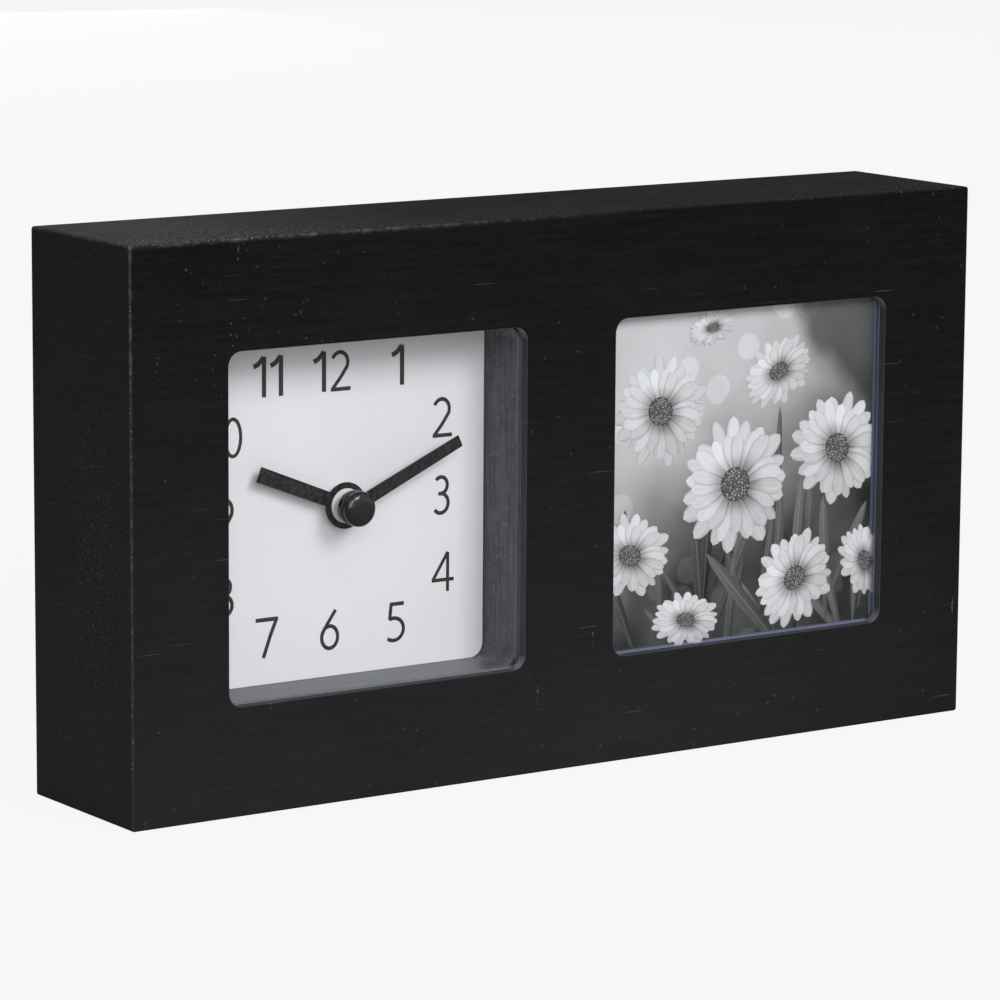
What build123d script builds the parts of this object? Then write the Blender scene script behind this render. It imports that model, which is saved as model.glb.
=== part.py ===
from build123d import *
import math
import os

# Photo frame clock: one black box frame with a clock window on the left and a photo window on the right.
# Millimetres. The origin is the middle of the underside, +X is the viewer's right, +Y goes away from the
# viewer and +Z is up. A depth is counted backwards from the front face.

os.makedirs("parts", exist_ok=True)

# Case
window_size = 70.0
window_corner_radius = 3.0
window_margin = 22.0
case_depth = 38.0
case_corner_radius = 0.6
front_panel_thickness = 2.1
side_thickness = 13.0
edge_ease = 0.5
window_edge_ease = 0.3
glue_line = 0.2

# Rear of the case
lip_thickness = 5.0
rear_recess = 3.0
back_panel_thickness = 3.0
back_panel_gap = 0.3
hatch_gap = 0.5
photo_hatch_gap = 1.5
hatch_corner_radius = 2.0
case_screw_spread = 77.0
case_screw_shank_radius = 1.25
case_screw_head_radius = 2.6
case_screw_head_height = 1.4
case_screw_length = 12.0
screw_hole_gap = 0.05
panel_hole_gap = 0.2

# Panes and photograph
photo_lip = 3.0
pocket_gap = 0.5
pane_thickness = 1.6
pane_gap = 0.2
pane_corner_radius = 1.0
print_thickness = 0.3
photo_backing_thickness = 3.0
photo_backing_gap = 0.5
backing_sink = 0.2

# Turn-buttons that hold the photo backing
button_length = 15.0
button_width = 5.0
button_thickness = 0.9
button_spread = 24.0
button_lift = 0.1
button_bore_gap = 0.08
button_screw_shank_radius = 1.0
button_screw_head_radius = 2.2
button_screw_head_height = 1.1
button_screw_length = 6.0

# Dial
dial_depth = 15.6
dial_card_thickness = 0.4
dial_board_thickness = 1.6
board_hole_gap = 0.2
card_hole_gap = 0.25

# Quartz movement housing
movement_size = 56.0
movement_thickness = 15.8
movement_corner_radius = 2.0
shaft_share = 0.357
housing_wall = 1.4
housing_front_wall = 1.2
cover_thickness = 1.4
cover_post_radius = 1.3
pivot_floor_share = 0.33
pad_thickness = 0.8
pad_border = 4.0
pad_hole_radius = 8.0
boss_radius = 4.2
boss_sink = 0.3
finger_notch_width = 16.0
finger_notch_depth = 6.0
cut_overrun = 1.0

# Battery, size AA, in a trough as long and as deep as the movement allows
battery_nub_radius = 2.7
battery_nub_length = 1.0
battery_edge_ease = 0.6
battery_gap = 0.2
contact_thickness = 0.4
contact_width = 9.0
contact_height_share = 0.75
contact_spring_reach = 2.4
contact_end_gap = 0.2
contact_play = 0.3

# Hands and the tubes that carry them
axis_gap = 0.05
press_gap = 0.02
hour_pipe_gap = 0.1
hand_thickness = 0.4
hour_hand_depth = 12.8
hour_hand_length = 21.8
hour_hand_root_width = 2.9
hour_hand_tip_width = 3.2
hour_hand_angle = 158.4
hour_ring_width = 1.2
hour_bush_wall = 0.95
hour_bush_proud = 0.2
hour_bush_flange_width = 0.7
hour_bush_flange_thickness = 0.6
minute_hand_depth = 10.0
minute_hand_length = 28.0
minute_hand_root_width = 2.75
minute_hand_tip_width = 2.4
minute_hand_angle = 23.9
minute_hub_radius = 3.5
cap_radius = 3.6
cap_height = 3.4
cap_edge_ease = 1.1
cap_bore_depth = 0.9
arbor_recess = 0.3

# Toothed wheels: straight-flanked teeth. The main module is a share of the gear chamber's height; the
# other modules are shares of that one, and so are the radii of arbors and pipes
gear_module_share = 0.00806
motor_module_share = 0.67
stepdown_module_share = 0.83
arbor_share = 1.7
minute_pipe_share = 5.3
hour_pipe_share = 8.5
hub_share = 2.0
step_hub_share = 1.5
addendum_share = 0.8
dedendum_share = 1.1
wheel_root_share = 0.62
wheel_tip_share = 0.26
pinion_root_share = 0.5
pinion_tip_share = 0.2
wheel_thickness = 0.8
pinion_overlap = 0.2
level_gap = 0.4
collar_overlap = 0.8
collar_thickness = 0.3
motion_hub_wall = 0.4

# Tooth counts
centre_teeth = 64
third_pinion_teeth = 8
third_teeth = 60
seconds_pinion_teeth = 8
seconds_teeth = 48
transfer_pinion_teeth = 8
transfer_teeth = 50
rotor_teeth = 10
cannon_teeth = 14
motion_teeth = 42
motion_pinion_teeth = 10
hour_teeth = 40
set_teeth = 18

# Directions from one wheel's axis to the next, in degrees anticlockwise from +X seen from the front
third_bearing = 180.0
transfer_bearing = -30.0
motion_bearing = 110.0
set_bearing = 30.0

# Step motor, bridge, circuit
bridge_thickness = 0.8
bridge_width_share = 0.613
bridge_top_margin = 2.0
bridge_bottom_margin = 3.0
post_radius = 1.6
stator_thickness = 1.0
stator_stand = 1.0
stator_arm = 3.0
stator_bar_half_width = 3.8
magnet_radius = 3.0
magnet_thickness = 2.0
magnet_air_gap = 0.3
coil_radius = 3.2
coil_flange_radius = 3.7
coil_flange_thickness = 0.8
coil_side_gap = 0.6
coil_wall_gap = 0.3
board_thickness = 1.0
board_stand = 0.5
board_stand_radius = 0.7
board_stand_share = 0.25
board_width_share = 0.263
board_height_share = 0.296
crystal_radius = 1.0
crystal_length = 6.0
chip_size = 4.0
chip_height = 0.6

# Setting knob
knob_radius = 6.4
knob_height = 1.9
knob_lift = 0.3
knob_ribs = 24
knob_rib_root_share = 0.7
knob_rib_tip_share = 0.5
set_stem_radius = 1.5
set_pivot_radius = 0.6
set_pivot_length = 0.7

# Worked out from the sizes above
case_width = 2 * window_size + 3 * window_margin
case_height = window_size + 2 * window_margin
window_x = (window_size + window_margin) / 2
window_z = window_margin + window_size / 2
photo_size = window_size + 2 * photo_lip
bay_size = window_size + 2 * (window_margin - side_thickness)
divider_thickness = 2 * side_thickness - window_margin
liner_size = bay_size - 2 * glue_line
pocket_size = photo_size + 2 * pocket_gap
pane_size = pocket_size - 2 * pane_gap
front_y = -case_depth / 2
back_panel_depth = case_depth - rear_recess - back_panel_thickness
case_screw_inset = (lip_thickness + side_thickness) / 2

pane_back = front_panel_thickness + pane_thickness
print_back = pane_back + print_thickness
backing_back = print_back + photo_backing_thickness
liner_back = backing_back + backing_sink

board_front = dial_depth + dial_card_thickness
board_back = board_front + dial_board_thickness
boss_front = board_front + boss_sink
movement_front = board_back + pad_thickness
movement_back = movement_front + movement_thickness
movement_top = shaft_share * movement_size
movement_bottom = movement_top - movement_size
plate_back = movement_front + housing_front_wall
pivot_front = movement_front + pivot_floor_share * housing_front_wall
cover_front = movement_back - cover_thickness
battery_radius = (movement_thickness - housing_front_wall) / 2 - battery_gap
battery_axis_depth = plate_back + battery_gap + battery_radius
battery_trough_radius = battery_radius + battery_gap
battery_z = movement_bottom + housing_wall + battery_trough_radius
partition_bottom = battery_z + battery_trough_radius
chamber_bottom = partition_bottom + housing_wall
chamber_top = movement_top - housing_wall
chamber_half_width = movement_size / 2 - housing_wall
chamber_height = chamber_top - chamber_bottom
battery_length = (2 * (chamber_half_width - contact_thickness) - contact_end_gap - contact_spring_reach
                  - contact_play)

# Modules and round sizes of the train
gear_module = gear_module_share * chamber_height
motor_module = motor_module_share * gear_module
stepdown_module = stepdown_module_share * gear_module
arbor_radius = arbor_share * gear_module
minute_pipe_radius = minute_pipe_share * gear_module
hour_pipe_radius = hour_pipe_share * gear_module
hour_bush_radius = hour_pipe_radius + hour_bush_wall
hour_hub_radius = hour_bush_radius + hour_ring_width

# Levels of the wheels, from the front plate backwards
hour_level = plate_back + level_gap
motion_level = hour_level + wheel_thickness + level_gap
centre_level = motion_level + wheel_thickness + level_gap
collar_level = centre_level + wheel_thickness + axis_gap
bridge_level = collar_level + collar_thickness + axis_gap
bridge_back = bridge_level + bridge_thickness
third_level = bridge_back + level_gap
stator_level = bridge_back + stator_stand
seconds_level = third_level + wheel_thickness + 2 * level_gap
transfer_level = seconds_level + wheel_thickness + level_gap
magnet_level = stator_level + (stator_thickness - magnet_thickness) / 2
cover_post_front = transfer_level + wheel_thickness + 2 * level_gap
pivot_back = (cover_post_front + cover_front) / 2

# The seconds wheel turns inside the centre wheel, so this pair's module makes both pairs equally far apart
second_module = gear_module * (centre_teeth + third_pinion_teeth) / (third_teeth + seconds_pinion_teeth)
hour_module = gear_module * (cannon_teeth + motion_teeth) / (motion_pinion_teeth + hour_teeth)


def at_depth(depth):
    """A plane that faces the viewer, this far behind the front face, with X and Z as its axes."""
    return Plane(origin=(0, front_y + depth, 0), x_dir=(1, 0, 0), z_dir=(0, -1, 0))


def beside(place, reach, bearing):
    """The point at this distance and direction from a place."""
    angle = math.radians(bearing)
    return (place[0] + reach * math.cos(angle), place[1] + reach * math.sin(angle))


def centre_distance(module, teeth, mate_teeth):
    """How far apart two meshed wheels turn."""
    return module * (teeth + mate_teeth) / 2


def meshing_turn(bearing, teeth, turn, mate_teeth):
    """The angle of a mate's first tooth that puts its gap on the tooth of the wheel it meets."""
    teeth_passed = (bearing - turn) * teeth / 360
    return bearing + 180 - (1 - 2 * teeth_passed) * 180 / mate_teeth


def tip_radius(module, teeth):
    return module * (teeth / 2 + addendum_share)


def gear_outline(place, module, teeth, turn, root_share, tip_share):
    """The corner points of a toothed disc, tooth by tooth."""
    pitch_angle = 360 / teeth
    tip = tip_radius(module, teeth)
    root = module * (teeth / 2 - dedendum_share)
    points = []
    for tooth in range(teeth):
        middle = turn + tooth * pitch_angle
        points.append(beside(place, root, middle - root_share * pitch_angle / 2))
        points.append(beside(place, tip, middle - tip_share * pitch_angle / 2))
        points.append(beside(place, tip, middle + tip_share * pitch_angle / 2))
        points.append(beside(place, root, middle + root_share * pitch_angle / 2))
    return points


def toothed_disc(place, depth, thickness, module, teeth, turn, root_share, tip_share):
    """Adds a toothed disc to the part being built."""
    with BuildSketch(at_depth(depth)) as profile:
        with BuildLine():
            Polyline(*gear_outline(place, module, teeth, turn, root_share, tip_share), close=True)
        make_face()
    extrude(to_extrude=profile.sketch, amount=-thickness)


def wheel_disc(place, depth, module, teeth, turn):
    toothed_disc(place, depth, wheel_thickness, module, teeth, turn, wheel_root_share, wheel_tip_share)


def pinion_disc(place, depth, module, teeth, turn):
    """A pinion reaches past its wheel by an overlap on each side."""
    toothed_disc(place, depth - pinion_overlap, wheel_thickness + 2 * pinion_overlap, module, teeth, turn,
                 pinion_root_share, pinion_tip_share)


def turned(places, front, back, radius, mode=Mode.ADD):
    """Adds or cuts round stock between two depths, on each of the places."""
    with BuildSketch(at_depth(front)) as profile:
        with Locations(*places):
            Circle(radius)
    extrude(to_extrude=profile.sketch, amount=front - back, mode=mode)


def finish(part, label):
    part.label = label
    export_step(part, f"parts/{label}.step")


# Places on the face
clock_place = (-window_x, window_z)
photo_place = (window_x, window_z)

# Front panel: thin board with both windows, its outer and window edges eased before painting
with BuildPart() as front_panel:
    with BuildSketch(at_depth(0)):
        with Locations((0, case_height / 2)):
            RectangleRounded(case_width, case_height, case_corner_radius)
        with Locations(clock_place, photo_place):
            RectangleRounded(window_size, window_size, window_corner_radius, mode=Mode.SUBTRACT)
    extrude(amount=-front_panel_thickness)
    face = front_panel.faces().sort_by(Axis.Y)[0]
    window_edges = face.inner_wires().edges()
    fillet(face.outer_wire().edges(), edge_ease)
    chamfer(window_edges, window_edge_ease)
finish(front_panel.part, "front_panel")


def box_corners(inset):
    """Corners of the case's outline, drawn in by an inset, anticlockwise from the lower left."""
    reach = case_width / 2 - inset
    return [(-reach, inset), (reach, inset), (reach, case_height - inset), (-reach, case_height - inset)]


def mitred_profile(depth, outer_inset, inner_inset, side):
    """One side of the frame between two insets, cut at 45 degrees at both ends."""
    ends = (side, (side + 1) % 4)
    outer = [box_corners(outer_inset)[end] for end in ends]
    inner = [box_corners(inner_inset)[end] for end in reversed(ends)]
    with BuildSketch(at_depth(depth)) as profile:
        with BuildLine():
            Polyline(*outer, *inner, close=True)
        make_face()
        with Locations((0, case_height / 2)):
            RectangleRounded(case_width, case_height, case_corner_radius, mode=Mode.INTERSECT)
    return profile.sketch


# Screws of the back panel, two along the top and two along the bottom
case_screw_places = []
for height in (case_screw_inset, case_height - case_screw_inset):
    for across in (-case_screw_spread, case_screw_spread):
        case_screw_places.append((across, height))

# Four sides of the box, mitred, rebated at the rear for the back panel
for side, name in enumerate(("bottom_rail", "right_stile", "top_rail", "left_stile")):
    with BuildPart() as board:
        extrude(to_extrude=mitred_profile(front_panel_thickness, 0, side_thickness, side),
                amount=front_panel_thickness - case_depth)
        rebate = mitred_profile(case_depth, lip_thickness, side_thickness + cut_overrun, side)
        extrude(to_extrude=rebate, amount=rear_recess + back_panel_thickness, mode=Mode.SUBTRACT)
        own_places = [place for place in case_screw_places
                      if (name == "bottom_rail" and place[1] < window_z)
                      or (name == "top_rail" and place[1] > window_z)]
        if own_places:
            turned(own_places, back_panel_depth - case_screw_length + back_panel_thickness - screw_hole_gap,
                   back_panel_depth, case_screw_shank_radius + screw_hole_gap, Mode.SUBTRACT)
    finish(board.part, name)

# Divider between the clock bay and the photo bay
with BuildPart() as centre_divider:
    with BuildSketch(at_depth(front_panel_thickness)):
        with Locations((0, window_z)):
            Rectangle(divider_thickness, bay_size)
    extrude(amount=front_panel_thickness - back_panel_depth)
finish(centre_divider.part, "centre_divider")

# Back panel: board with a hatch for the movement and a hatch for changing the photograph
movement_hatch = movement_size + 2 * hatch_gap
movement_middle = (-window_x, window_z + movement_top - movement_size / 2)
photo_hatch = pocket_size + 2 * photo_hatch_gap
panel_inset = lip_thickness + back_panel_gap
with BuildPart() as back_panel:
    with BuildSketch(at_depth(back_panel_depth)):
        with Locations((0, case_height / 2)):
            Rectangle(case_width - 2 * panel_inset, case_height - 2 * panel_inset)
        with Locations(movement_middle):
            RectangleRounded(movement_hatch, movement_hatch, hatch_corner_radius, mode=Mode.SUBTRACT)
        with Locations(photo_place):
            RectangleRounded(photo_hatch, photo_hatch, hatch_corner_radius, mode=Mode.SUBTRACT)
        with Locations(*case_screw_places):
            Circle(case_screw_shank_radius + panel_hole_gap, mode=Mode.SUBTRACT)
    extrude(amount=-back_panel_thickness)
finish(back_panel.part, "back_panel")

# Pan-head wood screws
panel_rear = back_panel_depth + back_panel_thickness
with BuildPart() as back_panel_screws:
    turned(case_screw_places, panel_rear - case_screw_length, panel_rear, case_screw_shank_radius)
    turned(case_screw_places, panel_rear, panel_rear + case_screw_head_height, case_screw_head_radius)
finish(back_panel_screws.part, "back_panel_screws")

# One glass pane behind each window
for name, place in (("clock_glass", clock_place), ("photo_glass", photo_place)):
    with BuildPart() as pane:
        with BuildSketch(at_depth(front_panel_thickness)):
            with Locations(place):
                RectangleRounded(pane_size, pane_size, pane_corner_radius)
        extrude(amount=-pane_thickness)
    finish(pane.part, name)

# Dial spacer: the deep frame that sets the dial back, its tunnel flush with the window, the pane let in
with BuildPart() as dial_spacer:
    with BuildSketch(at_depth(front_panel_thickness)):
        with Locations(clock_place):
            Rectangle(liner_size, liner_size)
            RectangleRounded(window_size, window_size, window_corner_radius, mode=Mode.SUBTRACT)
    extrude(amount=front_panel_thickness - dial_depth)
    with BuildSketch(at_depth(front_panel_thickness)):
        with Locations(clock_place):
            Rectangle(pocket_size, pocket_size)
    extrude(amount=-pane_thickness, mode=Mode.SUBTRACT)
finish(dial_spacer.part, "dial_spacer")

# Printed dial card and the hardboard it is glued to, both glued to the back of the spacer
# The hour pipe passes through the card; the hole in the board also takes the movement's boss
for name, front, thickness, hole in (
        ("dial_card", dial_depth, dial_card_thickness, hour_pipe_radius + card_hole_gap),
        ("dial_board", board_front, dial_board_thickness, boss_radius + board_hole_gap)):
    with BuildPart() as sheet:
        with BuildSketch(at_depth(front)):
            with Locations(clock_place):
                Rectangle(liner_size, liner_size)
                Circle(hole, mode=Mode.SUBTRACT)
        extrude(amount=-thickness)
    finish(sheet.part, name)

# Photo liner: the frame that holds pane, print and backing behind the right window
button_pivot_reach = pocket_size / 2 + button_width / 2 + button_lift
button_places = []
for up in (-button_pivot_reach, button_pivot_reach):
    for across in (-button_spread, button_spread):
        button_places.append((photo_place[0] + across, photo_place[1] + up))
button_back = liner_back + button_lift + button_thickness
button_screw_seat = button_back + button_lift
with BuildPart() as photo_liner:
    with BuildSketch(at_depth(front_panel_thickness)):
        with Locations(photo_place):
            Rectangle(liner_size, liner_size)
            Rectangle(pocket_size, pocket_size, mode=Mode.SUBTRACT)
    extrude(amount=front_panel_thickness - liner_back)
    turned(button_places, button_screw_seat - button_screw_length - screw_hole_gap, liner_back,
           button_screw_shank_radius + screw_hole_gap, Mode.SUBTRACT)
finish(photo_liner.part, "photo_liner")

# Photographic print and its backing board
with BuildPart() as photo_print:
    with BuildSketch(at_depth(pane_back)):
        with Locations(photo_place):
            Rectangle(photo_size, photo_size)
    extrude(amount=-print_thickness)
finish(photo_print.part, "photo_print")

with BuildPart() as photo_backing:
    with BuildSketch(at_depth(print_back)):
        with Locations(photo_place):
            Rectangle(pocket_size - 2 * photo_backing_gap, pocket_size - 2 * photo_backing_gap)
    extrude(amount=-photo_backing_thickness)
finish(photo_backing.part, "photo_backing")

# Turn-buttons: pressed steel tongues, each turning on its own screw
for number, place in enumerate(button_places, start=1):
    inward = 1 if place[1] < window_z else -1
    middle = (place[0], place[1] + inward * (button_length - button_width) / 2)
    with BuildPart() as turn_button:
        with BuildSketch(at_depth(liner_back + button_lift)):
            with Locations(middle):
                SlotOverall(button_length, button_width, rotation=90)
            with Locations(place):
                Circle(button_screw_shank_radius + button_bore_gap, mode=Mode.SUBTRACT)
        extrude(amount=-button_thickness)
    finish(turn_button.part, f"turn_button_{number}")

with BuildPart() as turn_button_screws:
    turned(button_places, button_screw_seat - button_screw_length, button_screw_seat,
           button_screw_shank_radius)
    turned(button_places, button_screw_seat, button_screw_seat + button_screw_head_height,
           button_screw_head_radius)
finish(turn_button_screws.part, "turn_button_screws")

# Axes of the movement, each from the one it meshes with
centre_place = clock_place
third_place = beside(centre_place, centre_distance(gear_module, centre_teeth, third_pinion_teeth),
                     third_bearing)
transfer_place = beside(centre_place, centre_distance(stepdown_module, seconds_teeth, transfer_pinion_teeth),
                        transfer_bearing)
rotor_place = beside(transfer_place, centre_distance(motor_module, transfer_teeth, rotor_teeth),
                     transfer_bearing)
motion_place = beside(centre_place, centre_distance(gear_module, cannon_teeth, motion_teeth), motion_bearing)
set_place = beside(motion_place, centre_distance(gear_module, motion_teeth, set_teeth), set_bearing)

# Foam pad that sticks the movement to the dial board
with BuildPart() as movement_pad:
    with BuildSketch(at_depth(board_back)):
        with Locations(movement_middle):
            Rectangle(movement_size - 2 * pad_border, movement_size - 2 * pad_border)
        with Locations(clock_place):
            Circle(pad_hole_radius, mode=Mode.SUBTRACT)
    extrude(amount=-pad_thickness)
finish(movement_pad.part, "movement_pad")


def from_shaft(across, up):
    """A place in the movement, measured from its shaft."""
    return (centre_place[0] + across, centre_place[1] + up)


# Places of the bridge posts, the stator feet and the circuit board
bridge_half_width = bridge_width_share * chamber_half_width
bridge_top = chamber_top - bridge_top_margin
bridge_bottom = -chamber_bottom - bridge_bottom_margin
board_width = board_width_share * 2 * chamber_half_width
board_height = board_height_share * chamber_height
bridge_post_places = [from_shaft(-bridge_half_width + 2 * post_radius, -bridge_bottom + 2 * post_radius),
                      from_shaft(bridge_half_width - 2 * post_radius, -bridge_bottom + post_radius),
                      from_shaft(bridge_half_width - 3 * post_radius, bridge_top - post_radius)]
coil_x = centre_place[0] + chamber_half_width - coil_side_gap - coil_flange_radius
stator_left = rotor_place[0] - stator_bar_half_width
stator_right = coil_x + stator_arm / 2
stator_top = centre_place[1] + chamber_top - 2 * stator_arm
stator_bottom = centre_place[1] + chamber_bottom + stator_arm
stator_foot_places = [(stator_right - stator_arm / 2, stator_top - stator_arm / 2),
                      (stator_right - stator_arm / 2, stator_bottom + stator_arm / 2)]
board_place = from_shaft(-chamber_half_width + board_width / 2 + coil_wall_gap,
                         chamber_top - board_height / 2 - coil_wall_gap)

# Movement housing: moulded tray with the gear chamber above and the battery trough below
with BuildPart() as movement_case:
    with BuildSketch(at_depth(movement_front)):
        with Locations(movement_middle):
            RectangleRounded(movement_size, movement_size, movement_corner_radius)
    extrude(amount=-movement_thickness)
    # Seat of the cover and the gear chamber
    cover_middle = from_shaft(0, (movement_top + partition_bottom) / 2)
    with BuildSketch(at_depth(movement_back)):
        with Locations(cover_middle):
            Rectangle(movement_size + 2 * cut_overrun, movement_top - partition_bottom)
    extrude(amount=cover_thickness, mode=Mode.SUBTRACT)
    chamber_middle = from_shaft(0, (chamber_top + chamber_bottom) / 2)
    with BuildSketch(at_depth(plate_back)):
        with Locations(chamber_middle):
            RectangleRounded(2 * chamber_half_width, chamber_height, movement_corner_radius / 2)
    extrude(amount=plate_back - movement_back, mode=Mode.SUBTRACT)
    # Round-bottomed trough for the cell, open to the rear
    trough_end = clock_place[0] - chamber_half_width
    with BuildSketch(Plane(origin=(trough_end, 0, 0), x_dir=(0, 1, 0), z_dir=(1, 0, 0))):
        with Locations((front_y + battery_axis_depth, centre_place[1] + battery_z)):
            Circle(battery_trough_radius)
        with Locations((front_y + (battery_axis_depth + movement_back + cut_overrun) / 2,
                        centre_place[1] + battery_z)):
            Rectangle(movement_back + cut_overrun - battery_axis_depth, 2 * battery_trough_radius)
    extrude(amount=2 * chamber_half_width, mode=Mode.SUBTRACT)
    # Notch for a finger under the cell
    with BuildSketch(at_depth(movement_back)):
        with Locations(from_shaft(0, movement_bottom)):
            Rectangle(finger_notch_width, 2 * (housing_wall + cut_overrun))
    extrude(amount=finger_notch_depth, mode=Mode.SUBTRACT)
    # Boss let into the dial board, posts for the motion work and the bridge, feet of the stator
    turned([centre_place], boss_front, movement_front, boss_radius)
    turned([motion_place], plate_back, centre_level - level_gap / 2, set_pivot_radius)
    turned(bridge_post_places, plate_back, bridge_level, post_radius)
    turned(stator_foot_places, plate_back, stator_level, post_radius)
    turned([centre_place], boss_front, plate_back, hour_pipe_radius + axis_gap, Mode.SUBTRACT)
    turned([third_place], pivot_front, plate_back, arbor_radius + axis_gap, Mode.SUBTRACT)
    turned([set_place], pivot_front, plate_back, set_pivot_radius + axis_gap, Mode.SUBTRACT)
finish(movement_case.part, "movement_case")

# Movement cover: plate over the gear chamber, a post behind each arbor, a hole for the setting stem
arbor_places = [centre_place, third_place, transfer_place, rotor_place]
with BuildPart() as movement_cover:
    with BuildSketch(at_depth(cover_front)):
        with Locations(movement_middle):
            RectangleRounded(movement_size, movement_size, movement_corner_radius)
        with Locations(from_shaft(0, (movement_bottom + partition_bottom) / 2)):
            Rectangle(movement_size + 2 * cut_overrun, partition_bottom - movement_bottom,
                      mode=Mode.SUBTRACT)
    extrude(amount=-cover_thickness)
    turned(arbor_places, cover_post_front, cover_front, cover_post_radius)
    turned(arbor_places, cover_post_front, pivot_back + axis_gap, arbor_radius + axis_gap, Mode.SUBTRACT)
    turned([set_place], cover_front, movement_back, set_stem_radius + axis_gap, Mode.SUBTRACT)
finish(movement_cover.part, "movement_cover")

# Train bridge: the middle plate, cemented to three posts
bridge_middle = from_shaft(0, (bridge_top - bridge_bottom) / 2)
third_pass_radius = tip_radius(gear_module, third_pinion_teeth) + level_gap
with BuildPart() as train_bridge:
    with BuildSketch(at_depth(bridge_level)):
        with Locations(bridge_middle):
            Rectangle(2 * bridge_half_width, bridge_top + bridge_bottom)
        with Locations(centre_place):
            Circle(minute_pipe_radius + axis_gap, mode=Mode.SUBTRACT)
        with Locations(third_place):
            Circle(third_pass_radius, mode=Mode.SUBTRACT)
        with Locations(transfer_place, rotor_place):
            Circle(arbor_radius + axis_gap, mode=Mode.SUBTRACT)
        with Locations(set_place):
            Circle(set_stem_radius + level_gap, mode=Mode.SUBTRACT)
    extrude(amount=-bridge_thickness)
finish(train_bridge.part, "train_bridge")

# Tooth phases, so that every pair is in mesh at rest
centre_turn = 0.0
third_pinion_turn = meshing_turn(third_bearing, centre_teeth, centre_turn, third_pinion_teeth)
third_turn = 0.0
seconds_pinion_turn = meshing_turn(third_bearing + 180, third_teeth, third_turn, seconds_pinion_teeth)
seconds_turn = 0.0
transfer_pinion_turn = meshing_turn(transfer_bearing, seconds_teeth, seconds_turn, transfer_pinion_teeth)
transfer_turn = 0.0
rotor_turn = meshing_turn(transfer_bearing, transfer_teeth, transfer_turn, rotor_teeth)
cannon_turn = 0.0
motion_turn = meshing_turn(motion_bearing, cannon_teeth, cannon_turn, motion_teeth)
motion_pinion_turn = 0.0
hour_turn = meshing_turn(motion_bearing + 180, motion_pinion_teeth, motion_pinion_turn, hour_teeth)
set_turn = meshing_turn(set_bearing, motion_teeth, motion_turn, set_teeth)

# Centre wheel: turned by the train, slips on the minute pipe when the hands are set
with BuildPart() as centre_wheel:
    wheel_disc(centre_place, centre_level, gear_module, centre_teeth, centre_turn)
    turned([centre_place], centre_level, centre_level + wheel_thickness, minute_pipe_radius + axis_gap,
           Mode.SUBTRACT)
finish(centre_wheel.part, "centre_wheel")

# Third wheel
with BuildPart() as third_wheel:
    wheel_disc(third_place, third_level, second_module, third_teeth, third_turn)
    pinion_disc(third_place, centre_level, gear_module, third_pinion_teeth, third_pinion_turn)
    turned([third_place], pivot_front + axis_gap, pivot_back, arbor_radius)
    turned([third_place], centre_level + wheel_thickness, third_level, hub_share * arbor_radius)
finish(third_wheel.part, "third_wheel")

# Seconds wheel: its arbor runs forward inside the minute pipe
cap_back = minute_hand_depth
minute_pipe_front = cap_back - cap_bore_depth
with BuildPart() as seconds_wheel:
    wheel_disc(centre_place, seconds_level, stepdown_module, seconds_teeth, seconds_turn)
    pinion_disc(centre_place, third_level, second_module, seconds_pinion_teeth, seconds_pinion_turn)
    turned([centre_place], minute_pipe_front + arbor_recess, pivot_back, arbor_radius)
    turned([centre_place], third_level, seconds_level, step_hub_share * arbor_radius)
finish(seconds_wheel.part, "seconds_wheel")

# Transfer wheel between the motor and the seconds wheel
with BuildPart() as transfer_wheel:
    wheel_disc(transfer_place, transfer_level, motor_module, transfer_teeth, transfer_turn)
    pinion_disc(transfer_place, seconds_level, stepdown_module, transfer_pinion_teeth, transfer_pinion_turn)
    turned([transfer_place], bridge_level + axis_gap, pivot_back, arbor_radius)
    turned([transfer_place], seconds_level, transfer_level, step_hub_share * arbor_radius)
finish(transfer_wheel.part, "transfer_wheel")

# Rotor of the step motor: moulded pinion and arbor inside a ring magnet
with BuildPart() as rotor_pinion:
    pinion_disc(rotor_place, transfer_level, motor_module, rotor_teeth, rotor_turn)
    turned([rotor_place], bridge_level + axis_gap, pivot_back, arbor_radius)
finish(rotor_pinion.part, "rotor_pinion")

with BuildPart() as rotor_magnet:
    magnet_back = magnet_level + magnet_thickness
    turned([rotor_place], magnet_level, magnet_back, magnet_radius)
    turned([rotor_place], magnet_level, magnet_back, arbor_radius + press_gap, Mode.SUBTRACT)
finish(rotor_magnet.part, "rotor_magnet")

# Stator: soft iron plate round the magnet, with an arm to each end of the coil core
with BuildPart() as stator:
    with BuildSketch(at_depth(stator_level)):
        with Locations(((stator_left + stator_right) / 2, (stator_top + stator_bottom) / 2)):
            Rectangle(stator_right - stator_left, stator_top - stator_bottom)
        window_left = stator_left + 2 * stator_bar_half_width
        with Locations(((window_left + stator_right) / 2 + cut_overrun, (stator_top + stator_bottom) / 2)):
            Rectangle(stator_right - window_left + 2 * cut_overrun,
                      stator_top - stator_bottom - 2 * stator_arm, mode=Mode.SUBTRACT)
        with Locations(rotor_place):
            Circle(magnet_radius + magnet_air_gap, mode=Mode.SUBTRACT)
    extrude(amount=-stator_thickness)
finish(stator.part, "stator")

# Coil: soft iron core lying on the arms, bobbin and copper winding round it
coil_depth = stator_level + stator_thickness + stator_thickness / 2
coil_top = stator_top - stator_arm - coil_wall_gap
coil_bottom = stator_bottom + stator_arm + coil_wall_gap
with BuildPart() as coil_core:
    with BuildSketch(at_depth(stator_level + stator_thickness)):
        with Locations((coil_x, (stator_top + stator_bottom) / 2)):
            Rectangle(stator_arm, stator_top - stator_bottom)
    extrude(amount=-stator_thickness)
finish(coil_core.part, "coil_core")

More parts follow.
